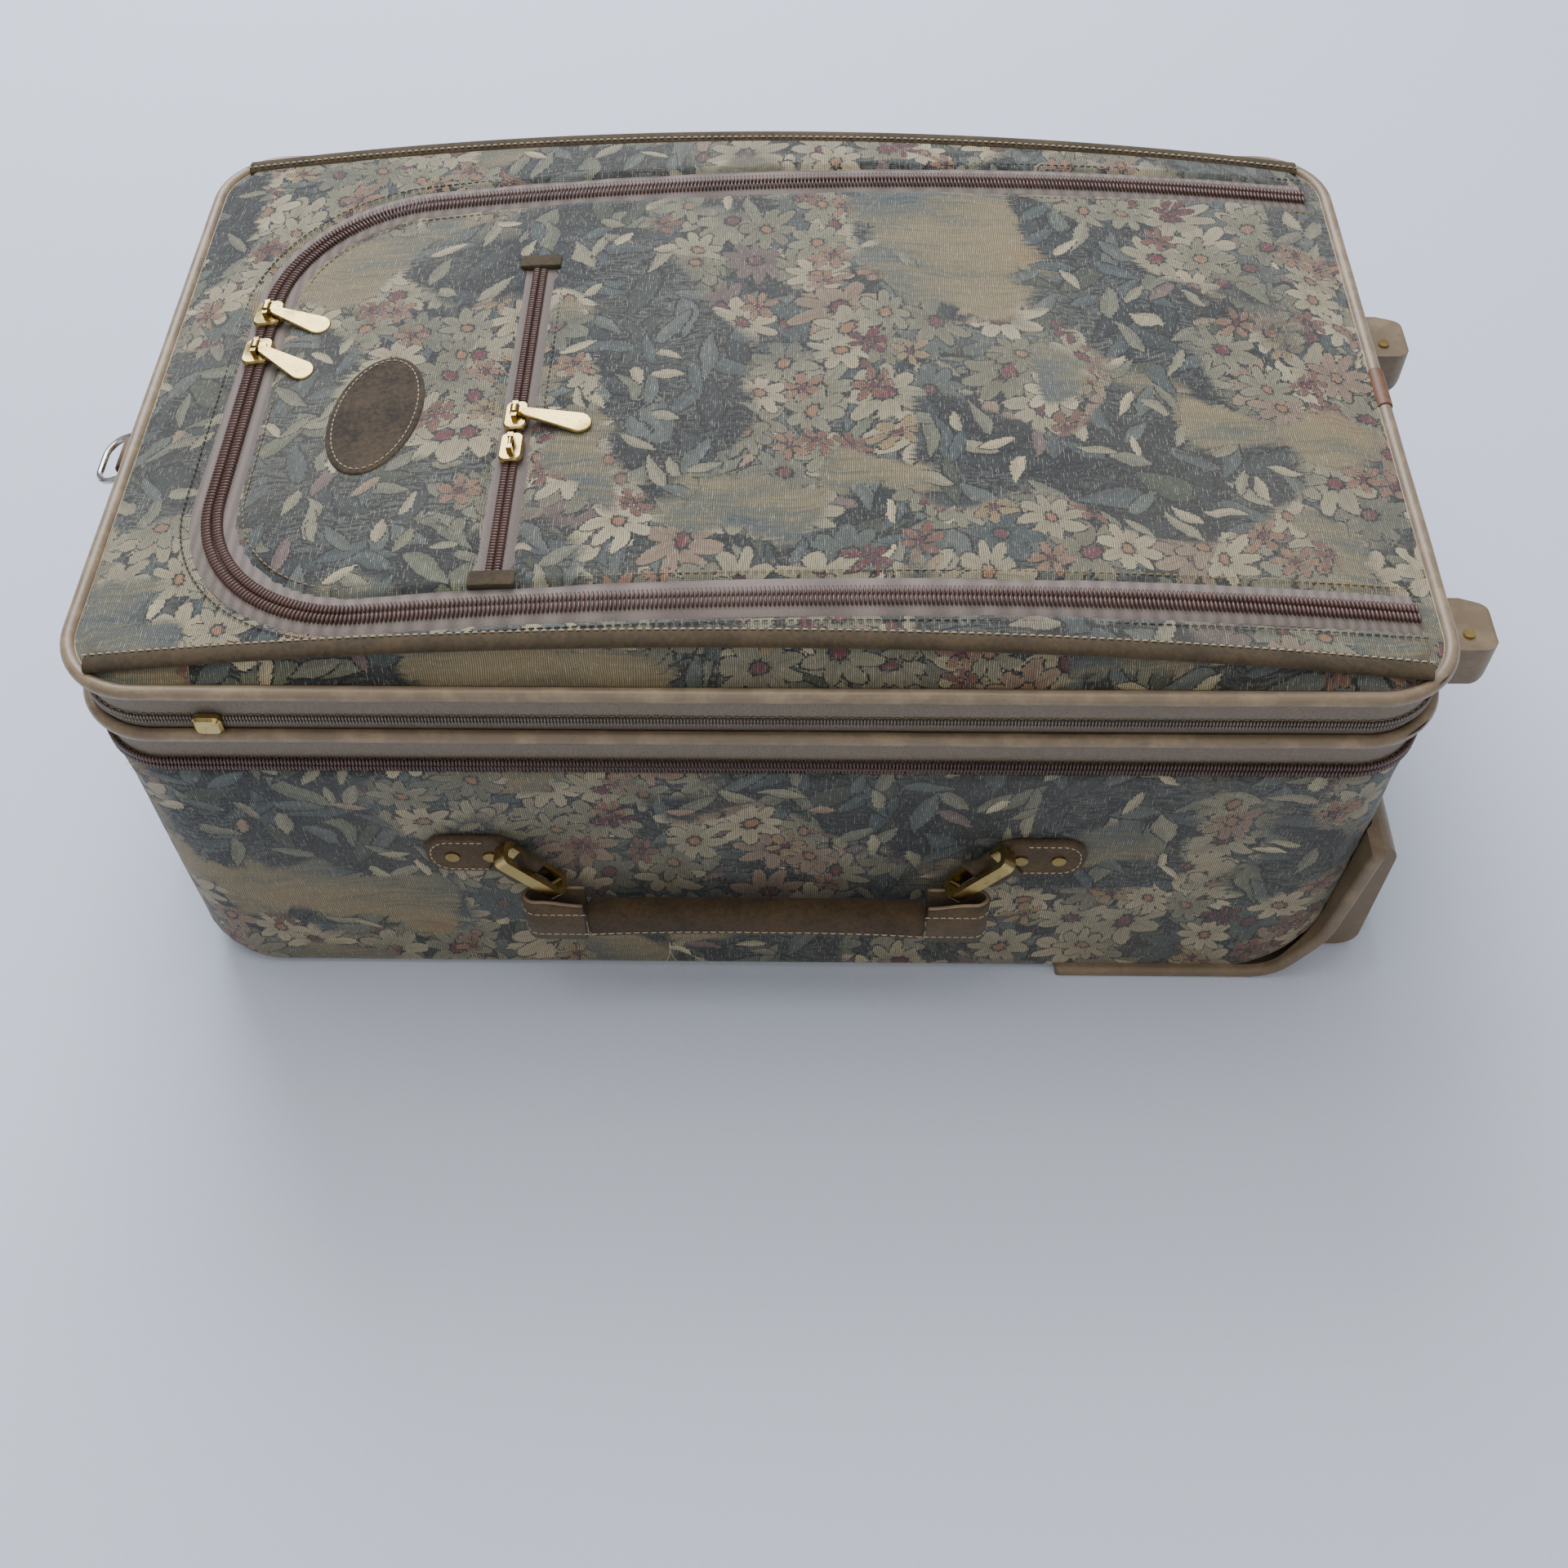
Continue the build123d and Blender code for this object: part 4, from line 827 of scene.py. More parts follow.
@dataclass(frozen=True)
class Plan:
    """The case seen from above."""

    half_length: float = 280 * MM
    half_width: float = 178 * MM
    corner: float = 32 * MM

    def line(self, inset: float, height: float) -> Path:
        """A closed line round the case, with outward normals.

        Args:
            inset: How far it is drawn in from the case's walls.
            height: Its height.

        Returns:
            The line.
        """
        half = np.array([self.half_length - inset, self.half_width - inset])
        bend = self.corner - inset
        flat = rectangle_line(*half, bend, 16)
        out = unit(flat - np.clip(flat, bend - half, half - bend))
        points = np.column_stack([flat, np.full(len(flat), height)])
        return Path(points, np.column_stack([out, np.zeros(len(out))]), True)


CASE = Plan()


# ---------------------------------------------------------------- mesh builders


class Ends(Enum):
    """How a skin through rings begins and ends."""

    OPEN = auto()
    JOINED = auto()
    CAPS_OUT = auto()
    CAPS_IN = auto()
    HUB = auto()
    CAP_AND_HUB = auto()


def skin(rows: int, count: int, ends: Ends = Ends.OPEN) -> Faces:
    """Faces of a skin through closed rings of points.

    Args:
        rows: How many rings there are.
        count: Points in each ring.
        ends: How it begins and ends.

    Returns:
        The faces. A hub is the point after the last ring's.
    """
    faces = []
    for row in range(rows if ends is Ends.JOINED else rows - 1):
        low, high = row * count, (row + 1) % rows * count
        faces += [(low + i, low + (i + 1) % count, high + (i + 1) % count, high + i)
                  for i in range(count)]
    hub = rows * count
    first, last = tuple(range(count)), tuple(range(hub - count, hub))
    if ends in (Ends.CAPS_OUT, Ends.CAP_AND_HUB):
        faces.append(first[::-1])
    if ends is Ends.CAPS_OUT:
        faces.append(last)
    if ends is Ends.CAPS_IN:
        faces += [first, last[::-1]]
    if ends in (Ends.HUB, Ends.CAP_AND_HUB):
        faces += [(last[i], last[(i + 1) % count], hub) for i in range(count)]
    return faces


def mesh_object(name: str, points: np.ndarray | list, faces: Faces,
                finish: Finish) -> bpy.types.Object:
    """A smooth mesh object in the frame's axes, painted and linked.

    Args:
        name: The piece's name.
        points: Its vertices in metres.
        faces: Its faces as vertex numbers.
        finish: What it is made of.

    Returns:
        The object.
    """
    mesh = bpy.data.meshes.new(name)
    mesh.from_pydata([tuple(p) for p in np.asarray(points, float)], [], faces)
    mesh.validate()
    mesh.update()
    mesh.shade_smooth()
    thing = bpy.data.objects.new(name, mesh)
    bpy.context.scene.collection.objects.link(thing)
    finish.paint(thing)
    log.info("built %s: %d faces", name, len(mesh.polygons))
    return thing


def rings_mesh(name: str, rings: list[np.ndarray], finish: Finish, ends: Ends = Ends.OPEN,
               hub: np.ndarray | None = None,
               keep: Callable[[np.ndarray], bool] = lambda middle: True) -> bpy.types.Object:
    """A skin through closed rings of equal length.

    Args:
        name: The piece's name.
        rings: The rings in order.
        finish: What it is made of.
        ends: How it begins and ends.
        hub: The point that the last ring is filled to.
        keep: Says whether a face with that middle stays.

    Returns:
        The object.
    """
    points = np.vstack(rings if hub is None else [*rings, hub[None]])
    faces = [face for face in skin(len(rings), len(rings[0]), ends)
             if keep(points[list(face)].mean(axis=0))]
    return mesh_object(name, points, faces, finish)


def swept(name: str, path: Path, profile: np.ndarray, finish: Finish,
          change: Change = lambda i, section: section) -> bpy.types.Object:
    """A closed profile carried along a path.

    Args:
        name: The piece's name.
        path: Where it runs.
        profile: Points (across, out) of the closed section in metres.
        finish: What it is made of.
        change: Changes the profile at a point's number.

    Returns:
        The object.
    """
    rings = []
    for i, (spot, across, normal) in enumerate(zip(path.points, path.across(), path.normals)):
        section = change(i, profile)
        rings.append(spot + section[:, :1] * across + section[:, 1:] * normal)
    return rings_mesh(name, rings, finish, Ends.JOINED if path.closed else Ends.CAPS_IN)


def ellipse(half_x: float, half_y: float, sides: int) -> np.ndarray:
    """Points of a closed oval with these half sizes, two numbers each."""
    angles = np.linspace(0, math.tau, sides, endpoint=False)
    return np.column_stack([np.cos(angles) * half_x, np.sin(angles) * half_y])


def slab_profile(width: float, thickness: float, edge: float = 0.4 * MM,
                 low: float = 0.0) -> np.ndarray:
    """A flat section with softened upper edges.

    Args:
        width: Its width.
        thickness: Its thickness.
        edge: Size of the softened edges.
        low: Where its underside lies above the surface.

    Returns:
        Points (across, out) of the section.
    """
    half, top = width / 2, low + thickness
    return np.array([(-half, low), (half, low), (half, top - edge), (half - edge, top),
                     (-half + edge, top), (-half, top - edge)])


def tooth_shape(along: float, across: float, height: float) -> np.ndarray:
    """A zip tooth: a short rounded bar lying across the zip.

    Args:
        along: Its size along the zip.
        across: How far it reaches across.
        height: Its height.

    Returns:
        Four rows of four points (along, across, out).
    """
    rows = []
    for side, shrink in ((0.0, 0.6), (0.25, 1.0), (0.8, 1.0), (1.0, 0.7)):
        half, reach = along / 2 * shrink, side * across
        low, top = height * (1 - shrink) * 0.5, height * (0.5 + shrink / 2)
        rows += [(-half, reach, low), (-half * 0.6, reach, top),
                 (half * 0.6, reach, top), (half, reach, low)]
    return np.array(rows)


def stitch_shape(length: float, radius: float) -> np.ndarray:
    """One stitch, a short thread arched over the cloth.

    Args:
        length: Its length.
        radius: The thread's radius.

    Returns:
        Four rows of four points (along, across, out).
    """
    rows = []
    for along, rise, thick in ((-0.5, -0.5, 0.5), (-0.25, 0.5, 1.0), (0.25, 0.5, 1.0),
                               (0.5, -0.5, 0.5)):
        for aside, up in ellipse(radius * thick, radius * thick, 4):
            rows.append((along * length, aside, rise * radius + up))
    return np.array(rows)


def repeated(name: str, path: Path, shape: np.ndarray, finish: Finish,
             mirrored: bool = False) -> bpy.types.Object:
    """One small shape set down at each point of a path.

    Args:
        name: The piece's name.
        path: Places and directions.
        shape: Four rows of four points (along, across, out) in metres.
        finish: What it is made of.
        mirrored: Whether the shape was mirrored, so that its faces turn the other way.

    Returns:
        The object.
    """
    frames = np.stack([path.tangents(), path.across(), path.normals], axis=1)
    points = (shape[None] @ frames) + path.points[:, None]
    faces = [face[::-1] if mirrored else face for face in skin(4, 4, Ends.CAPS_OUT)]
    starts = range(0, len(path.points) * len(shape), len(shape))
    faces = [tuple(start + k for k in face) for start in starts for face in faces]
    return mesh_object(name, points.reshape(-1, 3), faces, finish)


def stitches(name: str, path: Path, body: str, finish: Finish = Finish.THREAD, pitch: float = 3.4,
             length: float = 2.5, radius: float = 0.32) -> None:
    """A row of stitches along a path, riding on a body.

    Args:
        name: The row's name.
        path: Where it runs.
        body: The body that it rides on.
        finish: The thread's finish.
        pitch: Distance between stitches in millimetres.
        length: A stitch's length in millimetres.
        radius: The thread's radius in millimetres.
    """
    shape = stitch_shape(length * MM, radius * MM)
    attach(repeated(name, path.every(pitch * MM), shape, finish), body)


@dataclass(frozen=True)
class ZipSize:
    """A zip chain's sizes in metres."""

    chain: float
    pitch: float
    height: float
    finish: Finish = Finish.TEETH

    def teeth(self, name: str, path: Path, side: int, body: str) -> None:
        """One row of teeth on one side of a path.

        Args:
            name: The row's name.
            path: The zip's middle line.
            side: -1 or 1.
            body: The body that it rides on.
        """
        shape = tooth_shape(self.pitch * 0.7, self.chain * 0.475, self.height) * (1.0, -side, 1.0)
        start = self.pitch / 2 if side > 0 and not path.closed else 0.0
        line = path.every(self.pitch, start).shifted(side * self.chain / 2)
        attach(repeated(name, line, shape, self.finish, side > 0), body)


SIZE_TEN = ZipSize(chain=9.2 * MM, pitch=1.8 * MM, height=2.2 * MM)
SIZE_EIGHT = ZipSize(chain=7.4 * MM, pitch=1.5 * MM, height=2.0 * MM)
SIZE_SEVEN = ZipSize(chain=6.6 * MM, pitch=1.6 * MM, height=1.9 * MM)
SIZE_FIVE = ZipSize(chain=4.7 * MM, pitch=1.35 * MM, height=1.3 * MM, finish=Finish.FINE_TEETH)


def smooth_step(value: np.ndarray | float, low: float, high: float) -> np.ndarray | float:
    """0 below low, 1 above high, and a smooth change between."""
    t = np.clip((value - low) / (high - low), 0, 1)
    return t * t * (3 - 2 * t)


def wander(point: tuple[float, ...] | np.ndarray, scale: float, seed: float = 0.0) -> float:
    """Smooth noise from -1 to 1 at a point in metres, with scale in turns per metre."""
    return noise.noise(Vector(point) * scale + Vector((seed, seed * 0.7, seed * 1.3)))


def pad(name: str, outline: np.ndarray, place: Setter, thickness: float, edge: float,
        finish: Finish, seed: float = 1.0) -> bpy.types.Object:
    """A flat soft piece with a rounded edge, such as a suede patch.

    Args:
        name: The piece's name.
        outline: Its closed outline as flat points in metres.
        place: Turns flat points and heights into places in the frame.
        thickness: Its thickness.
        edge: How far in the edge's rounding goes.
        finish: What it is made of.
        seed: Changes its unevenness.

    Returns:
        The object.
    """
    centre = outline.mean(axis=0)
    reach = np.linalg.norm(outline - centre, axis=1)[:, None]
    rings = [place(outline, np.zeros(len(outline)))]
    for inward, up in ((0.0, 0.45), (0.25, 0.8), (0.6, 0.96), (1.0, 1.0)):
        inner = centre + (outline - centre) * (1 - edge * inward / reach)
        rings.append(place(inner, np.full(len(outline), up * thickness)))
    for share in (0.8, 0.6, 0.4, 0.2):
        ring = centre + (inner - centre) * share
        lumps = [wander((x, y, 0), 70, seed) * 0.06 * thickness for x, y in ring]
        rings.append(place(ring, thickness + np.array(lumps)))
    hub = place(centre[None], np.array([thickness]))[0]
    return rings_mesh(name, rings, finish, Ends.CAP_AND_HUB, hub)


def rounded_rectangle(length: float, width: float, radius: float) -> np.ndarray:
    """A flat closed outline with points no more than about 3 mm apart on its straights.

    Args:
        length: Its length.
        width: Its width.
        radius: Radius of its corners.

    Returns:
        Points of the outline, two numbers each.
    """
    line = rectangle_line(length / 2, width / 2, radius, 8)
    made = [line[0]]
    for point in np.roll(line, -1, axis=0):
        steps = int(np.linalg.norm(point - made[-1]) / (3 * MM))
        for i in range(1, steps + 1):
            made.append(made[-1] + (point - made[-1]) / (steps - i + 2))
        made.append(point)
    return np.array(made[:-1])


# ---------------------------------------------------------------- the front panel


class Crown:
    """The bowed surface of the front panel, read from the frame."""

    def __init__(self) -> None:
        """Works out the bow's radius from the panel's box."""
        low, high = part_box("front_panel")
        self.base, self.top, self.half = low.z, high.z, high.x
        rise = self.top - (self.base + 0.9 * MM)
        self.radius = (self.half**2 + rise**2) / (2 * rise)

    def height(self, x: np.ndarray | float) -> np.ndarray:
        """The surface's height at x."""
        return self.top - self.radius + np.sqrt(self.radius**2 - np.asarray(x) ** 2)

    def drape(self, flat: np.ndarray, lift: float = 0.0, closed: bool = False) -> Path:
        """Lays a flat line on the surface.

        Args:
            flat: The line's points, two numbers each.
            lift: How far it is raised.
            closed: Whether it is closed.

        Returns:
            The line on the surface.
        """
        x = flat[:, 0]
        up = np.sqrt(self.radius**2 - x**2)
        normals = np.column_stack([x, np.zeros(len(x)), up]) / self.radius
        return Path(np.column_stack([flat, self.height(x)]) + normals * lift, normals, closed)

    def setter(self, x: float, y: float, turn: float = 0.0, lift: float = 1.2 * MM) -> Setter:
        """A function that sets flat pieces on the surface.

        Args:
            x: Where the piece's middle lies.
            y: Where the piece's middle lies.
            turn: The piece's turn in the surface.
            lift: Height of its underside above the surface.

        Returns:
            The function.
        """
        rotation = np.array([[math.cos(turn), math.sin(turn)], [-math.sin(turn), math.cos(turn)]])

        def place(flat: np.ndarray, up: np.ndarray) -> np.ndarray:
            """Turns, moves and drapes flat points."""
            path = self.drape(flat @ rotation + (x, y))
            return path.points + path.normals * (up + lift)[:, None]

        return place


@dataclass
class FrontPanel:
    """The bowed front with its two zipped pockets, bindings, tabs and oval patch."""

    crown: Crown = field(default_factory=Crown)
    turn_x: float = -232.5 * MM
    end_x: float = 268 * MM
    far_turn: float = 117 * MM
    far_end: float = 142 * MM
    near_turn: float = -154 * MM
    near_end: float = -138 * MM
    bend: float = 72 * MM
    tape_half: float = 10.5 * MM
    tape_thickness: float = 0.6 * MM
    small_x: float = -106 * MM
    small_low: float = -139 * MM
    small_high: float = 71 * MM
    small_tape: float = 18 * MM
    binding_y: float = 167.2 * MM
    binding_seam_y: float = 164.8 * MM
    oval_place: tuple[float, float] = (-169.5 * MM, -34 * MM)
    oval_turn: float = math.radians(-5)
    oval_size: tuple[float, float] = (21 * MM, 38 * MM)
    oval_seam: float = 3 * MM
    inset: float = 2.4 * MM
    edge_bend: float = 5.2 * MM
    top_rings: int = 78

    def pocket_line(self) -> np.ndarray:
        """The large pocket's zip as a flat line, from the far run to the near one."""
        corners = [(self.end_x, self.far_end), (self.turn_x, self.far_turn),
                   (self.turn_x, self.near_turn), (self.end_x, self.near_end)]
        line = rounded_corner_line(corners, self.bend, 40)
        flat = facing(np.column_stack([line, np.zeros(len(line))]), UP)
        return flat.every(3 * MM).points[:, :2]

    def cloth(self) -> None:
        """The panel's cloth: side walls, rounded edge and a soft, padded top."""
        outline = CASE.line(self.inset, 0.0).every(3.0 * MM)
        base, out = outline.points[:, :2], outline.normals[:, :2]
        line, rings = self.pocket_line(), []
        for t in np.linspace(0, 1, 7):
            drawn = base - out * (self.edge_bend * t)
            top = self.crown.height(drawn[:, 0]) - 0.6 * MM
            rings.append(np.column_stack([drawn, self.crown.base + (top - self.crown.base) * t]))
        inner = base - out * (self.edge_bend + 1.2 * MM)
        for i in range(self.top_rings):
            ring = inner * (1.0 - i / self.top_rings)
            height = self.crown.height(ring[:, 0]) + self.puff(ring, line)
            rings.append(np.column_stack([ring, height]))
        hub = np.array([0.0, 0.0, float(self.crown.height(0.0)) + 1.2 * MM])
        piece = rings_mesh("front_cloth", rings, Finish.TAPESTRY, Ends.HUB, hub)
        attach(piece, "front")
        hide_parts("front_panel")

    def puff(self, ring: np.ndarray, line: np.ndarray) -> np.ndarray:
        """How far the cloth stands above the crown: low at the zips' tapes, soft elsewhere.

        Args:
            ring: Flat points.
            line: The large zip's flat line.

        Returns:
            A height for each point.
        """
        gaps = np.min(np.linalg.norm(ring[:, None] - line[None], axis=2), axis=1)
        beside = smooth_step(gaps, self.tape_half - 1.5 * MM, self.tape_half + 1.0 * MM)
        within = (ring[:, 1] > self.small_low) & (ring[:, 1] < self.small_high)
        small = smooth_step(np.abs(ring[:, 0] - self.small_x), 7.4 * MM, 9.2 * MM)
        beside = np.where(within, np.minimum(beside, small), beside)
        lumps = MM * np.array([
            noise.noise(Vector((x * 9.0, y * 9.0, 0.3))) * 1.6
            + noise.noise(Vector((x * 34.0, y * 34.0, 4.0))) * 0.35
            for x, y in ring
        ])
        edge = smooth_step(CASE.half_width - 1 * MM - np.abs(ring[:, 1]), 6 * MM, 26 * MM)
        ends = smooth_step(self.crown.half - np.abs(ring[:, 0]), 4 * MM, 30 * MM)
        return -0.5 * MM + beside * (1.5 * MM + (lumps + 1.0 * MM) * edge * ends)

    def binding(self, name: str, side: int) -> None:
        """One suede binding along a long edge, with its row of stitches.

        Args:
            name: The binding's name, here and in the frame.
            side: -1 on the near side and 1 on the far one.
        """
        x = np.linspace(-self.end_x, self.end_x, 120)
        line, seam = (np.column_stack([x, np.full(len(x), side * y)])
                      for y in (self.binding_y, self.binding_seam_y))
        profile = ellipse(4.8 * MM, 2.4 * MM, 16)
        piece = swept(name, self.crown.drape(line, 0.4 * MM), profile, Finish.DARK_SUEDE)
        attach(piece, "front")
        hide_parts(name)
        stitches(name + "_stitches", self.crown.drape(seam, 2.75 * MM), "front", radius=0.42)

    def zip_tape(self, name: str, node: str, path: Path, width: float) -> None:
        """A pocket zip's flat tape.

        Args:
            name: The tape's name.
            node: The frame's zip that it stands for.
            path: The zip's middle line.
            width: The tape's width.
        """
        tape = swept(name, path, slab_profile(width, self.tape_thickness), Finish.TAPE)
        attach(tape, "front")
        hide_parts(node)

    def pocket_zip(self) -> None:
        """The large pocket's tape, teeth and stitch rows."""
        path = self.crown.drape(self.pocket_line())
        self.zip_tape("pocket_tape", "pocket_zip", path, 2 * self.tape_half)
        raised = path.shifted(0.0, self.tape_thickness)
        for side, word, thread in ((-1, "outer", Finish.DARK_THREAD),
                                   (1, "inner", Finish.TAN_THREAD)):
            SIZE_TEN.teeth(f"pocket_teeth_{word}", raised, side, "front")
            row = path.shifted(side * 13.4 * MM, 1.9 * MM)
            stitches(f"pocket_stitches_{word}", row, "front", thread, radius=0.4)

    def small_zip(self) -> None:
        """The small pocket's tape, teeth and stitch rows."""
        y = np.linspace(self.small_high, self.small_low, 60)
        path = self.crown.drape(np.column_stack([np.full(len(y), self.small_x), y]))
        self.zip_tape("small_tape", "small_zip", path, self.small_tape)
        inner = path.every(2 * MM, 8 * MM, 8 * MM).shifted(0.0, self.tape_thickness)
        for side, word in ((-1, "left"), (1, "right")):
            SIZE_SEVEN.teeth(f"small_teeth_{word}", inner, side, "front")
            row = path.shifted(side * 11.4 * MM, 1.8 * MM)
            stitches(f"small_stitches_{word}", row, "front", Finish.DARK_THREAD, radius=0.4)

    def oval_stitches(self) -> None:
        """The stitches round the oval suede patch."""
        cos_t, sin_t = math.cos(self.oval_turn), math.sin(self.oval_turn)
        half_x, half_y = self.oval_size
        flat = ellipse(half_x - self.oval_seam, half_y - self.oval_seam, 90)
        flat = flat @ np.array([[cos_t, sin_t], [-sin_t, cos_t]]) + self.oval_place
        row = self.crown.drape(flat, 3.2 * MM, True)
        stitches("oval_stitches", row, "front", pitch=3.0, length=2.1)

    def oval(self) -> None:
        """The oval suede patch."""
        piece = pad("oval_suede", ellipse(*self.oval_size, 72),
                    self.crown.setter(*self.oval_place, self.oval_turn),
                    1.9 * MM, 1.6 * MM, Finish.PATCH_SUEDE, 4.0)
        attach(piece, "front")
        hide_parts("oval_patch")

    def end_tabs(self) -> None:
        """Suede tabs over the ends of the small zip."""
        low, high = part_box("zip_end_tabs")
        shape = rounded_rectangle(19.5 * MM, 8.4 * MM, 1.2 * MM)
        for word, y in (("low", low.y + 4 * MM), ("high", high.y - 4 * MM)):
            piece = pad(f"end_tab_{word}", shape, self.crown.setter(self.small_x, y),
                        2.2 * MM, 0.8 * MM, Finish.DARK_SUEDE, 6.0)
            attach(piece, "front")
            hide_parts("zip_end_tabs")

    def build(self) -> None:
        """All of the front."""
        self.cloth()
        self.binding("binding_near", -1)
        self.binding("binding_far", 1)
        self.pocket_zip()
        self.small_zip()
        self.oval_stitches()
        self.oval()
        self.end_tabs()


# ---------------------------------------------------------------- edge of the lid


@dataclass
class LidEdge:
    """Pipings and zip chains that run round the case."""

    piping_out: float = 1.0 * MM
    flange_in: float = 2.6 * MM
    flange_half: tuple[float, float] = (1.0 * MM, 1.2 * MM)
    main_height: float = 166.0 * MM
    main_inset: float = 0.6 * MM
    main_end_y: float = 144 * MM
    fine_height: float = 195.0 * MM
    fine_inset: float = 0.9 * MM

    def piping(self, node: str, body: str) -> None:
        """One vinyl piping, a little uneven along its length, with its sewn flange.

        Args:
            node: The frame's piping.
            body: The body that it rides on.
        """
        low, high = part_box(node)
        middle, radius = (low.z + high.z) / 2, (high.z - low.z) / 2
        path = CASE.line(-self.piping_out, middle).every(4 * MM)

        def uneven(i: int, profile: np.ndarray) -> np.ndarray:
            """Swells and moves the section by smooth noise.

            Args:
                i: The point's number.
                profile: The section.

            Returns:
                The changed section.
            """
            x, y, _ = path.points[i]
            swell = 1 + 0.05 * noise.noise(Vector((x * 40, y * 40, middle * 90)))
            sag = noise.noise(Vector((x * 11, y * 11, middle * 30))) * 0.35 * MM
            return profile * swell + (sag, 0.0)

        piece = swept(node + "_tube", path, ellipse(radius, radius, 18), Finish.PIPING, uneven)
        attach(piece, body)
        wide, tall = self.flange_half
        section = np.array([(-wide, -tall), (wide, -tall), (wide, tall), (-wide, tall)])
        line = path.shifted(0.0, -self.flange_in)
        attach(swept(node + "_flange", line, section, Finish.PIPING), body)
        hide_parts(node)

    def build(self) -> None:
        """The edge's pipings, and the chains of its two zips."""
        self.piping("piping_lower", "lid")
        self.piping("piping_upper", "front")
        line = CASE.line(self.main_inset, self.main_height)
        main = from_gap(line.points, line.normals, line.points[:, 1] < self.main_end_y)
        SIZE_EIGHT.teeth("main_teeth_case", main, -1, "case")
        SIZE_EIGHT.teeth("main_teeth_lid", main, 1, "lid")
        fine = CASE.line(self.fine_inset, self.fine_height)
        SIZE_FIVE.teeth("fine_teeth_lid", fine, -1, "lid")
        SIZE_FIVE.teeth("fine_teeth_front", fine, 1, "front")


# ---------------------------------------------------------------- the case


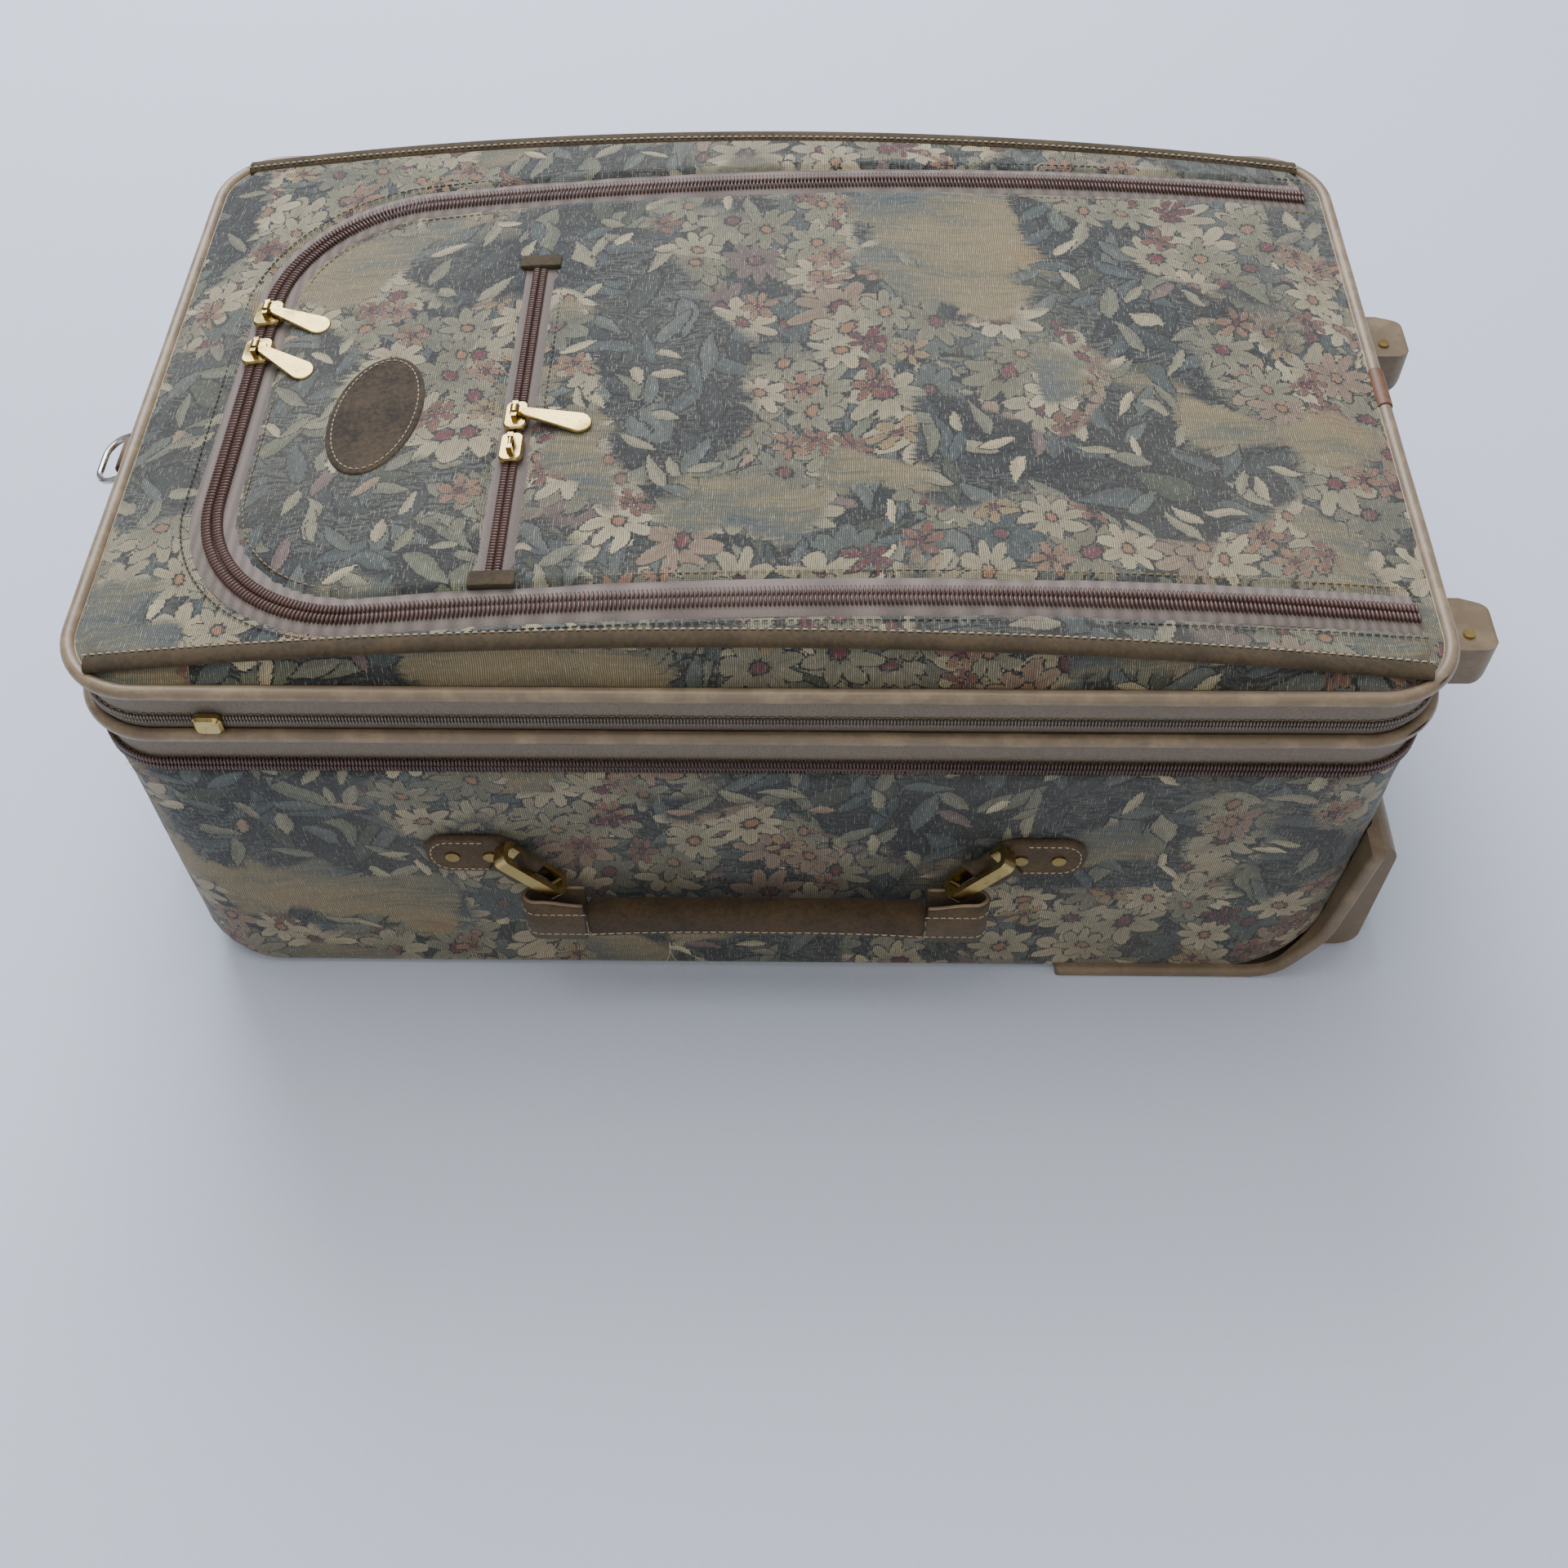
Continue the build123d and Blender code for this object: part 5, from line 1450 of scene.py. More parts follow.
@dataclass
class CaseCover:
    """The cloth-covered box of the case and its lining, both a little slack."""

    height: float = 161 * MM
    top_bend: float = 22 * MM
    wheel_bend: float = 42 * MM
    side_bend: float = 6 * MM
    least_bend: float = 0.5 * MM
    wall: float = 3 * MM
    guard_inset: float = 2.7 * MM
    guard_line: tuple = ((144, 0), (250, 3), (268, 36), (275, 107))
    guard_y: float = 108
    bezel_box: tuple = (-262, 110, 4.5, 28)
    housing: tuple = (238 * MM, 103 * MM, 95 * MM)
    sag: float = 1.5 * MM
    points_round: int = 340

    def ring(self, z: float, inset: float, floor: float = 0.0) -> Path:
        """The outline of a box with round lower edges, at a height.

        Args:
            z: The height.
            inset: How far the box is drawn in from the case's walls.
            floor: Height of the box's floor.

        Returns:
            The closed outline.
        """
        def drawn(bend: float) -> float:
            """Works out how far a round lower edge draws the wall in at this height.

            Args:
                bend: The edge's radius on the case.

            Returns:
                The distance.
            """
            bend = max(bend - inset, self.least_bend)
            depth = floor + bend - z
            return 0.0 if depth <= 0 else bend - math.sqrt(max(bend**2 - depth**2, 0.0))

        base = CASE.line(inset, 0.0).parts(self.points_round)
        points = base.points.copy()
        half_x, half_y = CASE.half_length - inset, CASE.half_width - inset
        right, left = ((half_x - drawn(bend)) / half_x for bend in (self.wheel_bend, self.top_bend))
        points[:, 0] *= np.where(points[:, 0] > 0, right, left)
        points[:, 1] *= (half_y - drawn(self.side_bend)) / half_y
        points[:, 2] = z
        return Path(points, base.normals, True)

    def in_guard(self, point: np.ndarray) -> bool:
        """Says whether a point of the outside lies under a corner guard.

        Args:
            point: The point.

        Returns:
            Whether it does.
        """
        x, y, z = point / MM
        if abs(y) < self.guard_y or x < self.guard_line[0][0]:
            return False
        return z < float(np.interp(x, *zip(*self.guard_line))) + 0.5

    def outside(self) -> list[np.ndarray]:
        """Draws the outer face, drawn in under the corner guards.

        Returns:
            Its rings, from the inner rim over the edge to the floor's middle.
        """
        rim = [self.ring(z, self.wall).points for z in np.linspace(150, 160.4, 3) * MM]
        rim += [self.ring(self.height, inset).points for inset in (self.wall - 0.4 * MM, 0.5 * MM)]
        rings = []
        for z in (*np.linspace(160.4, 44, 24), *np.linspace(40, 8, 10), 6, 4.2, 2.6, 1.3, 0.5, 0.1):
            path = self.ring(z * MM, 0.0)
            away = smooth_step(160 - z, 0, 22) * smooth_step(z, 3, 30)
            slack = np.array([0.55 + 0.45 * wander(p, 7.0) + 0.25 * wander(p, 24.0, 5.0)
                              for p in path.points])
            rings.append(path.points - path.normals * (self.sag * away * slack)[:, None])
        base = rings[-1] * (1.0, 1.0, 0.0)
        for share in np.linspace(0.995, 0.04, 36):
            ring = base * share
            ring[:, 2] = [abs(wander(p, 9.0, 9.0)) * 0.8 * MM * (1 - share) for p in ring]
            rings.append(ring)
        under = (point for ring in (rim[4], *rings) for point in ring if self.in_guard(point))
        for point in under:
            point[0] = min(point[0], CASE.half_length - self.guard_inset)
            point[1] -= math.copysign(self.guard_inset, point[1])
            point[2] = max(point[2], self.guard_inset)
        return rim + rings

    def cover(self) -> None:
        """The cover, open where the trolley's bezel sits."""
        end_x, half_y, low, high = self.bezel_box

        def clear_of_bezel(middle: np.ndarray) -> bool:
            """Whether a face's middle lies outside the bezel's opening."""
            x, y, z = middle / MM
            return not (x < end_x and abs(y) < half_y and low < z < high)

        rings = self.outside()
        piece = rings_mesh("case_cover", rings, Finish.TAPESTRY, Ends.HUB, rings[-1].mean(axis=0),
                           clear_of_bezel)
        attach(piece, "case")
        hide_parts("case_shell")

    def lining(self) -> None:
        """The lining inside the case, which drapes over the wheel housings."""
        low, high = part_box("case_lining")
        inset, floor = CASE.half_length - high.x, low.z
        rings = [self.ring(high.z, inset, floor).points]
        walls = np.linspace(high.z / MM, floor / MM + 40, 14)
        for z in (*walls, *(floor / MM + d for d in (30, 20, 12, 6, 3, 1.2))):
            path = self.ring(z * MM, inset + 0.7 * MM, floor)
            slack = np.array([max(0.0, wander(p, 16.0, 3.0)) * 1.6 * MM for p in path.points])
            rings.append(path.points - path.normals * slack[:, None])
        base = rings[-1].copy()
        for share in np.linspace(0.98, 0.05, 26):
            ring = base * share
            ring[:, 2] = floor + 0.8 * MM
            rings.append(ring)
        end_x, side_y, top = self.housing
        for point in (point for ring in rings for point in ring):
            if abs(point[1]) > side_y and point[2] < top:
                point[0] = min(point[0], end_x)
        piece = rings_mesh("lining_cloth", rings, Finish.LINING, Ends.HUB, rings[-1].mean(axis=0))
        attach(piece, "case")
        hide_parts("case_lining")

    def build(self) -> None:
        """The cover and the lining."""
        self.cover()
        self.lining()


@dataclass
class Bands:
    """Zip tapes round the case, the folded gusset, the lid's lining, the hinge and the straps."""

    tape_inset: float = 1.3 * MM
    tape_depth: float = 1.4 * MM
    gusset_inset: float = 4.6 * MM
    gusset_low: float = 154.2 * MM
    gusset_high: float = 204.8 * MM
    strap_x: float = 95 * MM
    strap_width: float = 25 * MM
    strap_thickness: float = 1.3 * MM
    buckle: tuple[float, float, float] = (34 * MM, 42 * MM, 6 * MM)

    def tape(self, node: str, body: str, finish: Finish) -> None:
        """One tape round the case, slightly wavy, and stitched if it is a wide one.

        Args:
            node: The frame's tape.
            body: The body that it rides on.
            finish: Its finish.
        """
        low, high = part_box(node)
        bottom, top = low.z + 0.02 * MM, high.z - 0.02 * MM
        half = (top - bottom) / 2
        path = CASE.line(self.tape_inset, (bottom + top) / 2).every(5 * MM)

        def wavy(i: int, profile: np.ndarray) -> np.ndarray:
            """Bows the tape between its sewn edges.

            Args:
                i: The point's number.
                profile: The section.

            Returns:
                The changed section.
            """
            bow = wander(path.points[i], 14.0, 2.0) * 0.25 * MM
            across = profile[:, 0]
            return profile + np.column_stack([across * 0, bow * (1 - (across / half) ** 2)])

        deep, proud = self.tape_depth, 0.15 * MM
        profile = np.array([(-half, -deep), (half, -deep), (half, 0), (half * 0.5, proud),
                            (-half * 0.5, proud), (-half, 0)])
        piece = swept(node + "_tape", path, profile, finish, wavy)
        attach(piece, body)
        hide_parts(node)
        if half > 5 * MM:
            row = CASE.line(self.tape_inset - 0.35 * MM, bottom + 2.6 * MM)
            stitches(node + "_stitches", row, body, Finish.TAN_THREAD, pitch=3.6, radius=0.25)

    def gusset(self) -> None:
        """The folded gusset: a thin upright ring of cloth with soft waves."""
        rings = []
        for t in np.linspace(0, 1, 9):
            height = self.gusset_low + (self.gusset_high - self.gusset_low) * t
            path = CASE.line(self.gusset_inset, height).every(5 * MM)
            push = np.array([wander((x, y, t * 0.02), 20.0, 6.0) * 1.2 * MM * math.sin(math.pi * t)
                             for x, y, _ in path.points])
            rings.append(path.points - path.normals * np.abs(push)[:, None])
        inner = [ring * (0.997, 0.995, 1.0) for ring in reversed(rings)]
        piece = rings_mesh("folded_gusset", rings + inner + rings[:1], Finish.LINING)
        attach(piece, "front")
        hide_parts("expansion_gusset")

    def lid_lining(self) -> None:
        """The flat lining on the inner face of the front pocket, slightly slack."""
        low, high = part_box("lid_lining")
        outline = CASE.line(CASE.half_length - high.x, 0.0).every(6 * MM).points
        rings = [outline + (0.0, 0.0, z) for z in (high.z, low.z)]
        for share in np.linspace(0.97, 0.04, 30):
            ring = outline * share
            fall = min(1.0, (1 - share) * 6) * 1.2 * MM
            ring[:, 2] = [low.z - max(0.0, wander(p, 10.0, 4.0)) * fall for p in ring]
            rings.append(ring)
        piece = rings_mesh("lid_lining_cloth", rings, Finish.LINING, Ends.HUB,
                           rings[-1].mean(axis=0))
        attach(piece, "front")
        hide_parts("lid_lining")

    def hinge(self) -> None:
        """The lining cloth that joins lid and case along the far side."""
        low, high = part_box("hinge_strip")
        columns, rows = 60, 9
        points = []
        for x in np.linspace(low.x, high.x, columns + 1):
            for z in np.linspace(low.z, high.z, rows):
                y = (low.y + high.y) / 2 + wander((x, 0, z), 18.0, 8.0) * 0.15 * MM
                points.append((x, y, z))
        faces = [(a, a + 1, a + rows + 1, a + rows)
                 for i in range(columns) for a in range(i * rows, i * rows + rows - 1)]
        piece = mesh_object("hinge_cloth", points, faces, Finish.LINING)
        solid = piece.modifiers.new("thickness", "SOLIDIFY")
        solid.thickness = max((high.y - low.y) * 0.8, 0.4 * MM)
        solid.offset = 0.0
        y = points[0][1]
        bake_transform(piece)
        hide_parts("hinge_strip")

    def packing(self) -> None:
        """The two packing straps with their buckles, lying on the lining."""
        low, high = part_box("packing_straps")
        y = np.linspace(low.y, high.y, 90)
        section = slab_profile(self.strap_width, self.strap_thickness)
        for word, x in (("left", -self.strap_x), ("right", self.strap_x)):
            z = [low.z + 0.2 * MM + abs(wander((x, v, 0), 14.0, 2.0)) * 1.5 * MM for v in y]
            line = facing(np.column_stack([np.full(len(y), x), y, z]), UP)
            strap = swept(f"packing_strap_{word}", line, section, Finish.WEBBING)
            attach(strap, "case")

            def place(flat: np.ndarray, up: np.ndarray, x: float = x) -> np.ndarray:
                """Sets flat points on the strap."""
                return np.column_stack([flat[:, 0] + x, flat[:, 1], up + low.z + 1.6 * MM])

            buckle = pad(f"packing_buckle_{word}", rounded_rectangle(*self.buckle), place,
                         5.4 * MM, 2.5 * MM, Finish.BLACK_PLASTIC)
            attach(buckle, "case")
            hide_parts("packing_straps")

    def build(self) -> None:
        """All of them."""
        self.tape("main_zip_case", "case", Finish.TAPE)
        self.tape("main_zip_lid", "lid", Finish.SIDE_TAPE)
        self.tape("expansion_zip_lower", "lid", Finish.SIDE_TAPE)
        self.tape("expansion_zip_upper", "front", Finish.SIDE_TAPE)
        self.gusset()
        self.lid_lining()
        self.hinge()
        self.packing()


# ---------------------------------------------------------------- carry handles


@dataclass
class CarryHandle:
    """A suede carry handle, drawn on the near side and turned to where it sits."""

    prefix: str
    body: str
    middle: float = -2 * MM
    shorter: float = 0.0
    turn: float = 0.0
    wall: float = CASE.half_width
    pivot_z: float = 101 * MM
    patch_reach: float = 127 * MM
    patch_size: tuple[float, float, float] = (43 * MM, 26 * MM, 11.5 * MM)
    patch_seam: tuple[float, float, float] = (37.5 * MM, 20.5 * MM, 8.8 * MM)
    ring_reach: float = 100.5 * MM
    ring_tilt: float = math.radians(40)
    chape_width: float = 21 * MM
    # The chape's way round the ring in millimetres: past the ring, out of the wall, up.
    chape_line: tuple = ((14.5, 3.4, 0.0), (10, 4.2, -1), (5.6, 7.4, -2), (1.5, 9.4, -2),
                         (-2.4, 9.0, -2.4))
    loop_far: float = 105 * MM
    loop_near: float = 78.2 * MM
    loop_outer: float = 18.4 * MM
    loop_inner: float = 7.4 * MM
    loop_low: float = 57.5 * MM
    loop_half: float = 1.3 * MM
    grip_z: float = 66 * MM
    grip_half: float = 77.5 * MM
    grip_out: float = 12 * MM
    grip_squareness: float = 0.72

    def set_down(self, points: np.ndarray) -> np.ndarray:
        """Turns points drawn on the near side to where this handle sits.

        Args:
            points: The points.

        Returns:
            The turned points.
        """
        points = np.asarray(points, float)
        if not self.turn:
            return points
        cos_t, sin_t = math.cos(self.turn), math.sin(self.turn)
        x, y = points[:, 0], points[:, 1]
        moved = np.column_stack([x * cos_t - y * sin_t, x * sin_t + y * cos_t, points[:, 2]])
        return moved + (self.wall - CASE.half_length, 0, 0)

    def turned(self, path: Path) -> Path:
        """Turns a path likewise.

        Args:
            path: The path, drawn on the near side.

        Returns:
            The turned path.
        """
        spot = self.set_down(path.points)
        return Path(spot, self.set_down(path.points + path.normals) - spot, path.closed)

    def patch(self, word: str, side: float) -> None:
        """A riveted patch with a stitch row that is open towards the grip.

        Args:
            word: Tells this strap's pieces from the other's.
            side: -1 for the left strap, as drawn, and 1 for the right one.
        """
        x = self.middle + side * (self.patch_reach - self.shorter)

        def place(flat: np.ndarray, up: np.ndarray | float) -> np.ndarray:
            """Sets flat points on the wall round the pivot."""
            out = np.broadcast_to(up, (len(flat),)) + 0.3 * MM
            return np.column_stack([x + flat[:, 0] * side, -self.wall - out,
                                    self.pivot_z + flat[:, 1]])

        piece = pad(f"{self.prefix}patch_{word}", rounded_rectangle(*self.patch_size),
                    lambda flat, up: self.set_down(place(flat, up)),
                    2.5 * MM, 1.2 * MM, Finish.SUEDE, 2.0)
        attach(piece, "case")
        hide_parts(f"{self.prefix}patches")
        seam = rounded_rectangle(*self.patch_seam)
        points = place(seam, 2.55 * MM)
        line = from_gap(points, np.tile(NEAR, (len(points), 1)), seam[:, 0] > -7 * MM)
        stitches(f"{self.prefix}patch_stitches_{word}", self.turned(line), "case",
                 pitch=3.2, length=2.3)

    def chape(self, word: str, side: float) -> None:
        """The folded strap that holds the ring to its patch.

        Args:
            word: Tells this strap's pieces from the other's.
            side: -1 for the left strap, as drawn, and 1 for the right one.
        """
        ring_x = self.ring_reach - self.shorter
        line = [(self.middle + side * (ring_x + x * MM), -self.wall - out * MM,
                 self.pivot_z + z * MM) for x, out, z in self.chape_line]
        across = unit(np.array([(-side * math.tan(self.ring_tilt) * 0.8, 0.0, 1.0)]))
        profile = slab_profile(self.chape_width, 3.0 * MM, 0.9 * MM, -1.5 * MM)
        rings = [self.set_down(spot + profile[:, :1] * across + profile[:, 1:] * np.array(NEAR))
                 for spot in facing(line, NEAR).every(1.5 * MM).points]
        piece = rings_mesh(f"{self.prefix}chape_{word}", rings, Finish.DARK_SUEDE, Ends.CAPS_IN)
        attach(piece, "case")
        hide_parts(f"{self.prefix}straps")

    def loop(self, word: str, side: float) -> None:
        """The strap's loop round the ring's low end, open at the top, with its paler cut edge.

        Args:
            word: Tells this strap's pieces from the other's.
            side: -1 for the left strap, as drawn, and 1 for the right one.
        """
        far, near = (self.middle + side * (reach - self.shorter)
                     for reach in (self.loop_far, self.loop_near))
        outer, inner, thick = self.loop_outer, self.loop_inner, self.loop_half
        bend = (outer - inner) / 2
        centre = far - side * bend
        run = np.linspace(near, centre, 8)
        line = [(x, -self.wall - outer) for x in run]
        for angle in np.linspace(0, math.pi, 14)[1:-1]:
            line.append((centre + side * bend * math.sin(angle),
                         -self.wall - (outer + inner) / 2 - bend * math.cos(angle)))
        line += [(x, -self.wall - inner) for x in run[::-1]]
        flat, count = np.array(line), len(line)
        share = np.arange(count) / count
        tops = 87.0 - 4.5 * smooth_step(share, 0.3, 0.75)
        tops -= 3.0 * (1 - smooth_step(share, 0.0, 0.22))
        ahead = unit(np.gradient(flat, axis=0))
        out = np.column_stack([ahead[:, 1], -ahead[:, 0]]) * -side
        low, rings = self.loop_low, []
        for spot, way, top in zip(flat, out, tops * MM):
            half_up, shoulder = (low + top) / 2, top - 0.5 * MM
            section = ((-thick, low), (thick, low), (thick, half_up), (thick, shoulder),
                       (thick * 0.4, top), (-thick * 0.4, top), (-thick, shoulder),
                       (-thick, half_up))
            rings.append(self.set_down([(*(spot + way * aside), z) for aside, z in section]))
        piece = rings_mesh(f"{self.prefix}loop_{word}", rings, Finish.SUEDE, Ends.CAPS_IN)
        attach(piece, self.body)
        outer_face = flat - out * (thick + 0.12 * MM)
        for z, row in ((62.0, "low"), (78.5, "high")):
            spots = np.column_stack([outer_face, np.full(count, z * MM)])[:16]
            seam = Path(spots, np.column_stack([out, np.zeros(count)])[:16])
            stitches(f"{self.prefix}loop_stitches_{row}_{word}", self.turned(seam), self.body,
                     pitch=3.6)
        edge = facing(np.column_stack([flat, tops * MM + 0.05 * MM]), UP)
        trim = swept(f"{self.prefix}loop_edge_{word}", self.turned(edge),
                     slab_profile(1.5 * MM, 0.35 * MM, 0.1 * MM), Finish.PIPING)
        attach(trim, self.body)

    def grip(self) -> None:
        """The rolled suede grip with drooping ends and a stitch row along its seam."""
        half = self.grip_half - self.shorter
        centre_y = -self.wall - self.grip_out
        angles = np.linspace(0, math.tau, 28, endpoint=False)
        rings, seam = [], []
        for t in np.linspace(-1, 1, 61):
            x = self.middle + t * half
            end = 1 - smooth_step(abs(t), 0.965, 1.0) * 0.25
            tall = (10.6 + 0.9 * abs(t) ** 3 + 0.25 * wander((x, 0, 0), 30, 3)) * MM * end
            deep = (6.2 + 0.5 * abs(t) ** 3) * MM * end
            z = self.grip_z + 0.8 * MM * (1 - t * t) - 1.2 * MM * abs(t) ** 3
            ring = []
            for cos_a, sin_a in zip(np.cos(angles), np.sin(angles)):
                y = centre_y - math.copysign(abs(cos_a) ** self.grip_squareness, cos_a) * deep
                up = z + math.copysign(abs(sin_a) ** self.grip_squareness, sin_a) * tall
                ring.append((x, y, up + wander((x, y, up), 60, 1) * 0.25 * MM))
            rings.append(self.set_down(ring))
            if abs(t) < 0.98:
                seam.append((x, centre_y - deep - 0.1 * MM, z - tall * 0.38))
        piece = rings_mesh(f"{self.prefix}grip_roll", rings, Finish.GRIP, Ends.CAPS_IN)
        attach(piece, self.body)
        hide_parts(f"{self.prefix}grip")
        stitches(f"{self.prefix}grip_stitches", self.turned(facing(seam, NEAR)), self.body,
                 pitch=3.9, length=2.9)

    def build(self) -> None:
        """The whole handle."""
        for word, side in SIDES:
            self.patch(word, side)
            self.chape(word, side)
            self.loop(word, side)
        self.grip()


# ---------------------------------------------------------------- small pieces


@dataclass
class Trim:
    """The D-ring's tab, the piping's sleeve, torn piping and loose threads."""

    sleeve_x: float = CASE.half_length + 1 * MM
    sleeve_radius: float = 3.75 * MM
    tab_fold: float = 3.0 * MM
    tab_width: float = 18 * MM
    thread_radius: float = 0.16 * MM

    def tear(self, name: str, node: str, body: str, low_x: float, high_x: float,
             rise: float) -> None:
        """A black sliver of painted shade where a piping's vinyl has torn open, on the near right
        corner.

        Args:
            name: The slit's name.
            node: The piping.
            body: The body that it rides on.
            low_x: Where it starts.
            high_x: Where it ends.
            rise: How far up the piping's round side it lies, in degrees.
        """
        low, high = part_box(node)
        radius, turn = (high.z - low.z) / 2, math.radians(rise)
        path = CASE.line(-1.0 * MM - radius * math.cos(turn),
                         (low.z + high.z) / 2 + radius * math.sin(turn))
        x, y, _ = path.points.T
        keep = (x > low_x) & (x < high_x) & (y < -140 * MM)
        line = Path(path.points[keep], path.normals[keep])
        last = max(1, len(line.points) - 1)

        def pointed(i: int, profile: np.ndarray) -> np.ndarray:
            """Thins the slit towards its ends."""
            return profile * max(0.12, math.sin(math.pi * i / last))

        section = ellipse(0.95 * MM, 0.95 * MM * 0.45, 8)
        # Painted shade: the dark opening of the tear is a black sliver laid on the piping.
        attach(swept(name, line, section, Finish.BLACK_PLASTIC, pointed), body)

    def sleeve(self) -> None:
        """The worn leather sleeve over the joint of the front piping."""
        low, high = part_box("piping_sleeve")
        y = np.linspace(low.y, high.y, 24)
        line = facing([(self.sleeve_x, v, (low.z + high.z) / 2) for v in y], TO_WHEELS)

        def worn(i: int, profile: np.ndarray) -> np.ndarray:
            """Dents the section and draws it in at the ends."""
            end = 0.07 if i in (0, len(y) - 1) else 0.0
            return profile * (1 + 0.05 * wander(line.points[i], 260.0, 2.0) - end)

        section = ellipse(self.sleeve_radius, self.sleeve_radius, 18)
        piece = swept("sleeve_leather", line, section, Finish.SLEEVE, worn)
        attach(piece, "front")
        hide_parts("piping_sleeve")

    def ring_tab(self) -> None:
        """The leather tab that holds the D-ring, folded round the ring's bar."""
        low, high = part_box("ring_tab")
        fold = self.tab_fold
        bar_x, bar_z = low.x + fold + 0.4 * MM, (low.z + high.z) / 2
        angles = np.linspace(math.pi / 2, math.pi * 1.5, 14)
        line = np.array([(high.x, bar_z + fold),
                         *((bar_x + fold * math.cos(angle), bar_z + fold * math.sin(angle))
                           for angle in angles),
                         (high.x, bar_z - fold)])
        ahead = unit(np.gradient(line, axis=0))
        zeros = np.zeros(len(line))
        points = np.column_stack([line[:, 0], zeros + (low.y + high.y) / 2, line[:, 1]])
        normals = np.column_stack([-ahead[:, 1], zeros, ahead[:, 0]])
        section = slab_profile(self.tab_width, 0.8 * MM, 0.2 * MM, -0.4 * MM)
        piece = swept("ring_tab_leather", Path(points, normals), section, Finish.LEATHER)
        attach(piece, "front")
        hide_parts("ring_tab")

    def threads(self, name: str, body: str, start: tuple[float, float, float], reach: float,
                seed: float, count: int, finish: Finish) -> None:
        """A tuft of loose threads.

        Args:
            name: The tuft's name.
            body: The body that it rides on.
            start: Where every thread starts.
            reach: A thread's length.
            seed: Changes how they curl.
            count: How many threads there are.
            finish: The thread's finish.
        """
        points, faces, steps = [], [], 14
        for n in range(count):
            faces += [tuple(len(points) + k for k in face) for face in skin(steps, 3)]
            spot = Vector(start)
            ahead = (wander((n, 1, 0), 7.3, seed), -0.5, -0.6 + wander((n, 2, 0), 5.1, seed))
            ahead = Vector(ahead).normalized()
            for i in range(steps):
                pull = Vector((wander((n, i, 0), 0.9, seed), 0.3 * wander((n, i, 5), 0.9, seed),
                               wander((n, i, 9), 0.9, seed)))
                ahead = (ahead + pull * 0.6).normalized()
                spot = spot + ahead * reach / steps
                spot.y = min(spot.y, start[1])
                for angle in (0, 2.1, 4.2):
                    points.append((spot.x + math.cos(angle) * self.thread_radius, spot.y,
                                   spot.z + math.sin(angle) * self.thread_radius))
        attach(mesh_object(name, points, faces, finish), body)

    def build(self) -> None:
        """All of the trim."""
        self.sleeve()
        self.ring_tab()
        self.tear("torn_piping_front_shade", "piping_upper", "front", 268 * MM, 277 * MM, 48)
        self.tear("torn_piping_lower_shade", "piping_lower", "lid", 262 * MM, 276.5 * MM, 35)
        self.threads("grip_thread", "side_handle", (-42 * MM, -196.6 * MM, 56 * MM), 26 * MM,
                     2.0, 3, Finish.THREAD)
        self.threads("corner_fray", "case", (-264.5 * MM, -170.6 * MM, 159 * MM), 6 * MM,
                     5.0, 9, Finish.TAN_THREAD)


# ---------------------------------------------------------------- finishes of the frame's own nodes

NODE_FINISH: dict[Finish, tuple[str, ...]] = {
    Finish.TAPESTRY: ("case_shell", "front_panel"),
    Finish.LINING: ("case_lining", "hinge_strip", "lid_lining", "expansion_gusset"),
    Finish.BOARD: ("back_board",),
    Finish.ALUMINIUM: ("trolley_channel_near", "trolley_channel_far", "trolley_tube_near",
                       "trolley_tube_far", "wheel_axles"),
    Finish.MOULDED: ("trolley_bezel", "corner_guard_near", "corner_guard_far", "foot_near",
                     "foot_far"),
    Finish.TAPE: ("main_zip_case", "main_zip_lid", "pocket_zip", "small_zip"),
    Finish.SIDE_TAPE: ("expansion_zip_lower", "expansion_zip_upper"),
    Finish.AGED_BRASS: ("rivets",),
    Finish.BRASS: ("foot_screws", "side_rings", "top_rings", "main_slider_a", "main_slider_b",
                   "main_slider_a_pull", "main_slider_b_pull", "pocket_slider_a",
                   "pocket_slider_b", "pocket_slider_a_pull", "pocket_slider_b_pull",
                   "small_slider_a", "small_slider_b", "small_slider_a_pull",
                   "expansion_slider"),
    Finish.SUEDE: ("side_patches", "side_straps", "top_patches", "top_straps"),
    Finish.DARK_SUEDE: ("side_grip", "top_grip", "binding_near", "binding_far", "zip_end_tabs"),
    Finish.PATCH_SUEDE: ("oval_patch",),
    Finish.LEATHER: ("ring_tab",),
    Finish.NICKEL: ("d_ring",),
    Finish.PIPING: ("piping_lower", "piping_upper"),
    Finish.SLEEVE: ("piping_sleeve",),
    Finish.RUBBER: ("wheel_near", "wheel_far"),
    Finish.BLACK_PLASTIC: ("trolley_grip",),
    Finish.BUTTON: ("trolley_button",),
    Finish.WEBBING: ("packing_straps",),
}


def paint_frame() -> None:
    """Gives every node of the frame its finish."""
    for finish, names in NODE_FINISH.items():
        for name in names:
            finish.paint(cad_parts[name])
    log.info("painted %d nodes", sum(map(len, NODE_FINISH.values())))


# ---------------------------------------------------------------- studio


